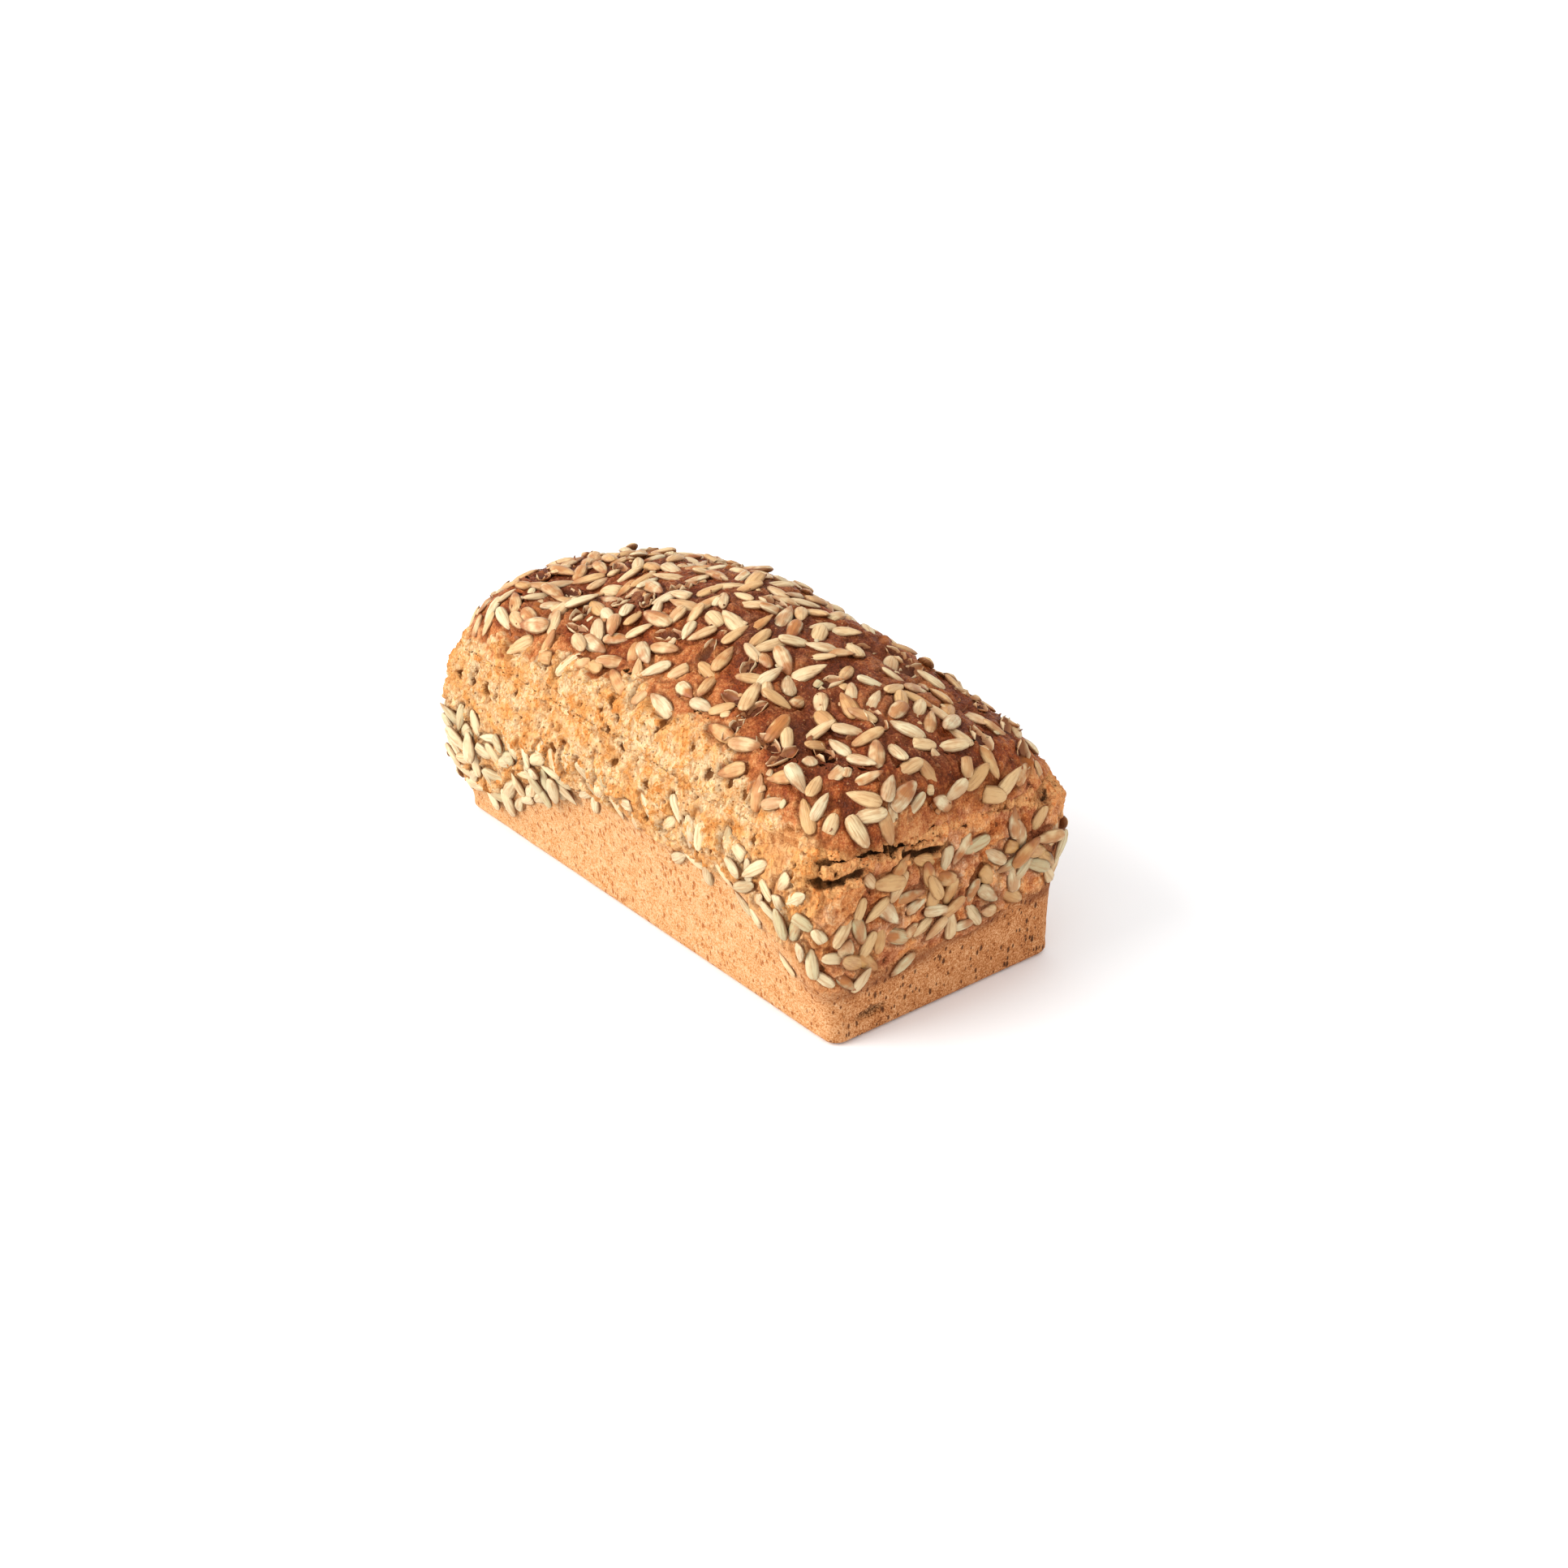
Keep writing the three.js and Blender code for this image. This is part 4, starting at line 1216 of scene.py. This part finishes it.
def add_node(tree, kind, inputs=None, stops=(), **settings):
    """Adds a node, applies its settings, links or fills its inputs, sets a ramp's stops; returns its outputs."""
    made = tree.nodes.new("ShaderNode" + kind)
    for name, value in settings.items():
        setattr(made, name, value)
    for name, value in (inputs or {}).items():
        if isinstance(value, bpy.types.NodeSocket):
            tree.links.new(value, made.inputs[name])
        else:
            made.inputs[name].default_value = linear(value) if isinstance(value, str) else value
    for i, (place, colour) in enumerate(stops):
        stop = made.color_ramp.elements[i] if i < 2 else made.color_ramp.elements.new(place)
        stop.position = place
        stop.color = linear(colour)
    return made.outputs


def new_material(name, *pieces):
    """An empty node material, put on its pieces. Returns the function that adds a node to it."""
    material = bpy.data.materials.new(name)
    material.use_nodes = True
    material.node_tree.nodes.clear()
    for piece in pieces:
        piece.data.materials.append(material)
    return functools.partial(add_node, material.node_tree)


def weighted_sum(add, terms):
    """Each pattern times its weight, all added up."""
    total = 0.0
    for pattern, weight in terms:
        total = add("Math", {0: pattern, 1: weight, 2: total}, operation="MULTIPLY_ADD")[0]
    return total


def spread_sums(add, table):
    """For each row the weighted sum of its patterns, 0 at the first number, 1 at the second, straight between."""
    masks = {}
    for name, (none_at, full_at, *terms) in table.items():
        inputs = {"Value": weighted_sum(add, terms), "From Min": none_at, "From Max": full_at}
        masks[name] = add("MapRange", inputs)["Result"]
    return masks


def layered(add, colour, layers):
    """Lays colours over a first one, each as strongly as its mask times its strength says."""
    for mask, strength, upper in layers:
        share = add("Math", {0: mask, 1: strength}, operation="MULTIPLY")[0]
        colour = add("Mix", {FACTOR: share, COLOUR_A: colour, COLOUR_B: upper}, data_type="RGBA")[MIXED]
    return colour


# Sockets of the Mix node in colour mode, which shares its names between modes.
FACTOR, COLOUR_A, COLOUR_B, MIXED = 0, 6, 7, 2

# %% [markdown]
# ## The crust's finish
#
# Crust is dried starch with browned sugar and protein. Against the tin it is matt and even, the colour of a
# biscuit, and its pin-holes are painted dark as shade. Torn crumb toasts orange on its thin crests and stays cream
# between them, and its holes are painted dark as shade. The crumb, the skin and the cap are painted darker in their
# hollows, as shade, and the skin and the cap paler on their highest crests, as highlight. The cap baked longest:
# from orange-brown at its edge to mahogany on top, slightly glossy, with pale specks of bran. A photograph could be
# laid over the loaf, but it would hold its light and show two sides only. So the zones come as attributes of the
# mesh, and the finer mottling from noise whose sizes are real millimetres.

# %% Baked spelt crust: patterns
PER_MM = 1000.0
# Cloudy noise: size in millimetres, detail, roughness.
CLOUDS = {
    "patches": (17, 4.0, 0.6),
    "blush": (9, 3.0, 0.6),
    "toasting": (7, 3.0, 0.6),
    "mottle": (3.0, 5.0, 0.68),
    "grit": (0.6, 2.0, 0.7),
}
# Dots, one to a cell: cell in millimetres, channel that picks the cells, share of cells left out, distances where
# a dot ends and where it is full, and how much smaller some dots are. Real pores are about 0.4 mm wide. They are
# drawn 0.6 mm wide on the wall and 0.5 mm in the crumb, as finer ones don't show in the picture.
DOTS = {
    "pores": (1.7, "Red", 0.22, 0.45, 0.28, 1.3),
    "crumb_holes": (1.7, "Green", 0.5, 0.26, 0.14, 0.0),
    "bran": (1.5, "Red", 0.64, 0.24, 0.12, 0.0),
}
PORE_TURN = (0.0, 0.7, 0.0)
PORE_STRETCH = (1.0, 1.0, 0.5)
WEB = {"cell": 1.7, "bend_size": 1.4, "bend": 1.3}

add = new_material("baked_spelt_crust", *crust_pieces)
coordinates = add("TexCoord")["Object"]
slanted = add("Mapping", {"Vector": coordinates, "Rotation": PORE_TURN, "Scale": PORE_STRETCH})["Vector"]
look = {name: add("Attribute", attribute_name=name)["Fac"] for name in crust_looks}
cloud = {}
for name, (cloud_size, detail, rough) in CLOUDS.items():
    inputs = {"Vector": coordinates, "Scale": PER_MM / cloud_size, "Detail": detail, "Roughness": rough}
    cloud[name] = add("TexNoise", inputs)["Fac"]

dots = {}
for name, (cell, channel, left_out, ends_at, full_at, smaller) in DOTS.items():
    cells = add("TexVoronoi", {"Vector": slanted if name == "pores" else coordinates, "Scale": PER_MM / cell})
    drawn = add("SeparateColor", {"Color": cells["Color"]})
    shrink = weighted_sum(add, [(1.0, 1.0), (drawn["Green"], smaller)])
    distance = add("Math", {0: cells["Distance"], 1: shrink}, operation="MULTIPLY")[0]
    inside = spread_sums(add, {"dot": (ends_at, full_at, (distance, 1))})["dot"]
    chosen = add("Math", {0: drawn[channel], 1: left_out}, operation="GREATER_THAN")[0]
    dots[name] = add("Math", {0: inside, 1: chosen}, operation="MULTIPLY")[0]
dots["crumb_holes"] = add("Math", {0: dots["crumb_holes"], 1: look["crumb"]}, operation="MULTIPLY")[0]

# Bubble walls and wrinkles finer than the mesh: the borders between the cells of a bent cell pattern.
bending = add("TexNoise", {"Vector": slanted, "Scale": PER_MM / WEB["bend_size"], "Detail": 2.0})["Color"]
bent = add("VectorMath", {0: bending, 1: (WEB["bend"] * MM,) * 3, 2: slanted}, operation="MULTIPLY_ADD")["Vector"]
cells = add("TexVoronoi", {"Vector": bent, "Scale": PER_MM / WEB["cell"]}, feature="DISTANCE_TO_EDGE")
masks = spread_sums(add, {
    "border": (0.17, 0.03, (cells["Distance"], 1)),
    "web_patch": (0.4, 0.56, (cloud["mottle"], 1)),
    "grain": (0.33, 0.67, (cloud["mottle"], 0.35), (cloud["grit"], 0.65)),
})  # fmt: skip
grain = masks["grain"]
web = add("Math", {0: masks["border"], 1: masks["web_patch"]}, operation="MULTIPLY")[0]

# %% Baked spelt crust: colours
# Grain perturbs the borders of the zones.
masks = spread_sums(add, {
    "orange": (0.43, 0.6, (cloud["toasting"], 1), (look["brown"], 0.3)),
    "browned": (0.3, 1.0, (look["brown"], 1)),
    "pink": (0.42, 0.58, (cloud["blush"], 1)),
    "open": (0.55, 0.95, (look["open"], 1), (grain, 0.5)),
    "red": (0.2, 0.6, (look["degree"], 1)),
    "dark": (1.3, 1.75, (cloud["patches"], 1), (cloud["mottle"], 0.4), (look["degree"], 0.9)),
    "torn": (0.5, 0.9, (look["torn"], 1), (grain, 0.4)),
    "baked": (0.6, 1.1, (look["baked"], 1), (grain, 0.7)),
    "hollow": (-0.05, 0.45, (look["hollow"], 1), (grain, -0.5)),
})  # fmt: skip
# Crest is grain plus the height of the relief, so the ramps it drives paint shade into hollows and, on skin and
# cap, highlight onto crests.
crest = weighted_sum(add, [(grain, 0.5), (look["rise"], 0.5)])
cap_crest = weighted_sum(add, [(grain, 0.6), (look["rise"], 0.46)])
# Colours from the hollows to the crests; their darker ends are partly painted shade, and the palest ends of the
# skin and cap partly painted highlight. The cap has three, by its degree of baking.
RAMPS = {
    "pale_wall": (grain, (0.05, "#a5632f"), (0.35, "#c08954"), (0.6, "#cc9f71"), (0.95, "#d1b48c")),
    "brown_wall": (grain, (0.03, "#5f2c12"), (0.3, "#a46233"), (0.6, "#c68654"), (0.95, "#e4b283")),
    "cream_crumb": (crest, (0.08, "#a8682d"), (0.28, "#d4b384"), (0.5, "#dcbf95"), (0.7, "#d3a365"),
                    (0.92, "#c37733")),
    "orange_crumb": (crest, (0.08, "#94501e"), (0.3, "#cf9c62"), (0.55, "#d49656"), (0.75, "#c97c3a"),
                     (0.92, "#b16026")),
    "brown_crumb": (crest, (0.08, "#6a310e"), (0.3, "#c27f47"), (0.52, "#e3aa70"), (0.75, "#d9864c"),
                    (0.92, "#be672f")),
    "golden_skin": (crest, (0.1, "#a0622e"), (0.5, "#c6935c"), (0.9, "#d3b07c")),
    "red_skin": (crest, (0.08, "#6b2c0f"), (0.32, "#b05f2d"), (0.58, "#da9156"), (0.8, "#e8b27c"),
                 (0.97, "#f2d2ab")),
    "pink_skin": (crest, (0.08, "#612914"), (0.32, "#9e5634"), (0.58, "#c48258"), (0.8, "#d9a47e"),
                  (0.97, "#e7c3a2")),
    "edge_cap": (cap_crest, (0.12, "#7d390f"), (0.5, "#b56a37"), (0.9, "#d8a26a")),
    "red_cap": (cap_crest, (0.12, "#4a1904"), (0.5, "#8a3d15"), (0.9, "#bd723b")),
    "dark_cap": (cap_crest, (0.12, "#321205"), (0.5, "#632d15"), (0.9, "#9b613c")),
}  # fmt: skip
paint = {name: add("ValToRGB", {"Fac": driver}, stops)["Color"] for name, (driver, *stops) in RAMPS.items()}
# Colours that differ between the pale left side and the brown near end; pore and hollow are painted shade.
SHADES = {"pore": ("#a35a28", "#37190b"), "web": ("#bd7432", "#a3532a"), "hollow": ("#6a390f", "#2e1b08")}
shade = {name: layered(add, pale, [(look["brown"], 1, dark)]) for name, (pale, dark) in SHADES.items()}

wall = layered(add, paint["pale_wall"], [
    (look["brown"], 1, paint["brown_wall"]),
    # Painted shade: the pin-holes are darkened.
    (dots["pores"], 0.85, shade["pore"]),
    (look["rim_shade"], 0.75, "#6e371d"),
])  # fmt: skip
torn_crumb = layered(add, paint["cream_crumb"], [
    (masks["orange"], 1, paint["orange_crumb"]),
    (masks["browned"], 1, paint["brown_crumb"]),
    (web, 0.55, shade["web"]),
])  # fmt: skip
flushed_skin = layered(add, paint["red_skin"], [(masks["pink"], 1, paint["pink_skin"])])
belly = layered(add, paint["golden_skin"], [
    (look["brown"], 1, flushed_skin),
    # Painted shade: on closed skin the web lines are sunken wrinkles, darkened here.
    (web, 0.5, "#7c3a16"),
    (masks["open"], 1, torn_crumb),
])  # fmt: skip
cap = layered(add, paint["edge_cap"], [
    (masks["red"], 1, paint["red_cap"]),
    (masks["dark"], 1, paint["dark_cap"]),
    (dots["bran"], 0.65, "#b98a5c"),
])  # fmt: skip
colour = layered(add, wall, [
    (masks["torn"], 1, belly),
    (masks["baked"], 1, cap),
    # Painted shade: hollows, fissures and small crumb holes are darkened.
    (masks["hollow"], 0.92, shade["hollow"]),
    (dots["crumb_holes"], 0.7, shade["hollow"]),
    # Painted shadow along the kernels' edges, and darker rims round the dents.
    (look["crease"], 0.5, "#5a2a10"),
    # Painted shade in the dents left by fallen kernels.
    (look["dent"], 0.85, "#4a2413"),
    (look["amber"], 0.6, "#b0662a"),
])  # fmt: skip

# %% Baked spelt crust: fine relief and shine
# Look, its values at which the result stops changing, and the results there.
CHANGES = {
    "roughness": ("baked", 0.0, 1.0, 0.82, 0.45),
    "lumps": ("torn", 0.0, 1.0, 0.45, 0.75),
    "web": ("open", 0.3, 0.7, -0.8, 0.8),
    "pores": ("torn", 0.0, 0.6, 1.3, 0.0),
}
changing = {}
for name, (driver, low, high, to_low, to_high) in CHANGES.items():
    inputs = {"Value": look[driver], "From Min": low, "From Max": high, "To Min": to_low, "To Max": to_high}
    changing[name] = add("MapRange", inputs)["Result"]
pore_depth = add("Math", {0: dots["pores"], 1: changing["pores"]}, operation="MULTIPLY")[0]
web_height = add("Math", {0: web, 1: changing["web"]}, operation="MULTIPLY")[0]
web_height = add("Math", {0: web_height, 1: look["torn"]}, operation="MULTIPLY")[0]
height = weighted_sum(add, [(cloud["grit"], 1), (pore_depth, -1), (dots["crumb_holes"], -1), (web_height, 1)])
fine = add("Bump", {"Height": height, "Strength": 0.6, "Distance": 0.4 * MM})["Normal"]
lumps = add("Bump", {
    "Height": cloud["mottle"],
    "Strength": changing["lumps"],
    "Distance": 0.8 * MM,
    "Normal": fine,
})["Normal"]  # fmt: skip
shader = add("BsdfPrincipled", {
    "Base Color": colour,
    "Roughness": changing["roughness"],
    "IOR": 1.45,
    "Specular IOR Level": 0.14,
    "Normal": lumps,
})["BSDF"]  # fmt: skip
add("OutputMaterial", {"Surface": shader})
print("crust material:", len(bpy.data.materials["baked_spelt_crust"].node_tree.nodes), "nodes")

# %% [markdown]
# ## The kernels' finish
#
# Sunflower kernels are cream or grey-green when raw. They toast tan to orange-brown in patches on their flats and
# towards their tips, and keep a pale rim. Their lower sides are painted dark brown as shade, which shows as a thin
# dark line where they meet the crust. Their skin has fine lines lengthwise and a soft gloss from their oil. One
# colour for each kernel would be simpler, but the photograph shows several on each. The grain attribute holds each
# kernel's own coordinates, so the lines run along it whichever way it lies.

# %% Toasted sunflower kernel
LINE_SCALE = (0.14, 1.3, 1.3)
BLOTCH_SCALE = 0.2

add = new_material("toasted_sunflower_kernel", kernels, crumbs)
look = {name: add("Attribute", attribute_name=name)["Fac"] for name in ("tone", "toast", "top", "rim", "share")}
own_place = add("Attribute", attribute_name="grain")["Vector"]
stretched = add("Mapping", {"Vector": own_place, "Scale": LINE_SCALE})["Vector"]
lines = add("TexNoise", {"Vector": stretched, "Scale": 1.0, "Detail": 3.0})["Fac"]
blotches = add("TexNoise", {"Vector": own_place, "Scale": BLOTCH_SCALE, "Detail": 2.0})["Fac"]
masks = spread_sums(add, {
    "lines": (0.5, 0.64, (lines, 1)),
    "flat": (0.98, 1.34, (blotches, 1.7), (look["top"], 0.42)),
    "tip": (0.5, 1.0, (look["share"], 1)),
    # Painted shade: the lower side of each kernel is darkened, which reads as a dark line where it meets the crust.
    "outline": (0.5, -0.1, (look["top"], 1)),
})  # fmt: skip
masks |= spread_sums(add, {"tip_toast": (1.15, 1.8, (masks["tip"], 0.8), (look["rim"], 0.5), (blotches, 1.7))})
tones = [(0.0, "#c4965c"), (0.3, "#d0ab78"), (0.55, "#d9bf92"), (0.8, "#d4c39c"), (1.0, "#b4a77d")]
kernel_colour = layered(add, add("ValToRGB", {"Fac": look["tone"]}, tones)["Color"], [
    (masks["lines"], 0.5, "#a37446"),
    (masks["flat"], look["toast"], "#ac6a30"),
    (masks["tip_toast"], look["toast"], "#93532a"),
    # Painted shade on the kernel's lower side.
    (masks["outline"], 0.9, "#7c4722"),
])  # fmt: skip
shader = add("BsdfPrincipled", {
    "Base Color": kernel_colour,
    "Roughness": 0.42,
    "IOR": 1.47,
    "Specular IOR Level": 0.35,
    "Normal": add("Bump", {"Height": lines, "Strength": 0.9, "Distance": 0.6 * MM})["Normal"],
})["BSDF"]  # fmt: skip
add("OutputMaterial", {"Surface": shader})

# %% [markdown]
# ## The husks' finish
#
# A husk is thin dry skin, brown towards the bottom of its boat, pale towards its ragged rim, and only a little
# glossy. Real husks may let a little light through. An opaque shader is simpler, and that wasn't tried.

# %% Papery kernel husk
add = new_material("papery_kernel_husk", husks, husk_flakes)
look = {name: add("Attribute", attribute_name=name)["Fac"] for name in husk_looks}
# From the bottom of the shell up to its rim, and a little by each husk's tone: the colour runs from brown to pale.
up_to_rim = weighted_sum(add, [(look["rise"], 1), (look["tone"], 0.35)])
husk_tones = [(0.12, "#733a1b"), (0.45, "#9c6439"), (0.75, "#bb9065"), (0.97, "#d4b88f")]
husk_colour = add("ValToRGB", {"Fac": up_to_rim}, husk_tones)["Color"]
shader = add("BsdfPrincipled", {
    "Base Color": layered(add, husk_colour, [(look["inside"], 0.3, "#8a5029")]),
    "Roughness": 0.5,
    "IOR": 1.5,
    "Specular IOR Level": 0.3,
})["BSDF"]  # fmt: skip
add("OutputMaterial", {"Surface": shader})

# %% [markdown]
# ## Floor, light and camera
#
# The photograph was taken in a white room: soft light comes from all sides, and a large soft lamp on the left
# adds to it, so the near end lies in a light shade and the floor is white all over. Many lamps could stand for
# the room, but a white world gives the same light from all sides. The camera stands where the fit of the loaf's
# outline puts it.

# %% Floor, light and camera
CAMERA = {"azimuth": 51.09, "elevation": 27.67, "distance": 820.7, "aim": (11.6, 10.2, 35.0), "focal_px": 3126}
PHOTO_PX = 1932
SENSOR = 36.0
FLOOR_SIZE = 16000
ROOM_LIGHT = 1.08
LAMP = {"at": (-550, -1300, 900), "aim": (0, 0, 50), "size": 1300, "power": 30}
# White paper, as linear values, since a hex value is too coarse for it.
PAPER = (0.94, 0.94, 0.945, 1)

floor_mesh = bpy.data.meshes.new("studio_floor")
half = FLOOR_SIZE * MM / 2
floor_mesh.from_pydata([(-half, -half, 0), (half, -half, 0), (half, half, 0), (-half, half, 0)], [], [(0, 1, 2, 3)])
floor = bpy.data.objects.new("studio_floor", floor_mesh)
bpy.context.collection.objects.link(floor)
floor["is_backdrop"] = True
add = new_material("white_paper_floor", floor)
shader = add("BsdfPrincipled", {"Base Color": PAPER, "Roughness": 1.0, "Specular IOR Level": 0.0})["BSDF"]
add("OutputMaterial", {"Surface": shader})

world = bpy.data.worlds.new("white_room")
world.use_nodes = True
world.node_tree.nodes["Background"].inputs["Color"].default_value = (1, 1, 1, 1)
world.node_tree.nodes["Background"].inputs["Strength"].default_value = ROOM_LIGHT
bpy.context.scene.world = world
bpy.context.scene.view_settings.view_transform = "Standard"


def point_at(thing, place, target):
    """Puts an object at a place and turns its -Z axis, which lights and cameras look along, to the target."""
    thing.location = [value * MM for value in place]
    away = mathutils.Vector(place) - mathutils.Vector(target)
    thing.rotation_euler = away.to_track_quat("Z", "Y").to_euler()


light = bpy.data.lights.new("softbox_left", "AREA")
light.size = LAMP["size"] * MM
light.energy = LAMP["power"]
softbox = bpy.data.objects.new("softbox_left", light)
bpy.context.collection.objects.link(softbox)
point_at(softbox, LAMP["at"], LAMP["aim"])

azimuth, elevation = math.radians(CAMERA["azimuth"]), math.radians(CAMERA["elevation"])
back = np.array([
    math.sin(azimuth) * math.cos(elevation), -math.cos(azimuth) * math.cos(elevation), math.sin(elevation),
])  # fmt: skip
camera_data = bpy.data.cameras.new("camera")
camera_data.sensor_width = SENSOR
camera_data.lens = CAMERA["focal_px"] / PHOTO_PX * SENSOR
camera = bpy.data.objects.new("camera", camera_data)
bpy.context.collection.objects.link(camera)
point_at(camera, np.array(CAMERA["aim"]) + back * CAMERA["distance"], CAMERA["aim"])
bpy.context.scene.camera = camera
print(f"lens {camera_data.lens:.1f} mm")

# %% [markdown]
# ## The two boxes
#
# Both boxes are printed: the imported solid's at the start, and the finished bread's here. The finished bread
# has to stay inside the imported solid's box.

# %% Sizes and the end
low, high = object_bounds()
print("visual box", [round(v, 4) for v in low], [round(v, 4) for v in high])
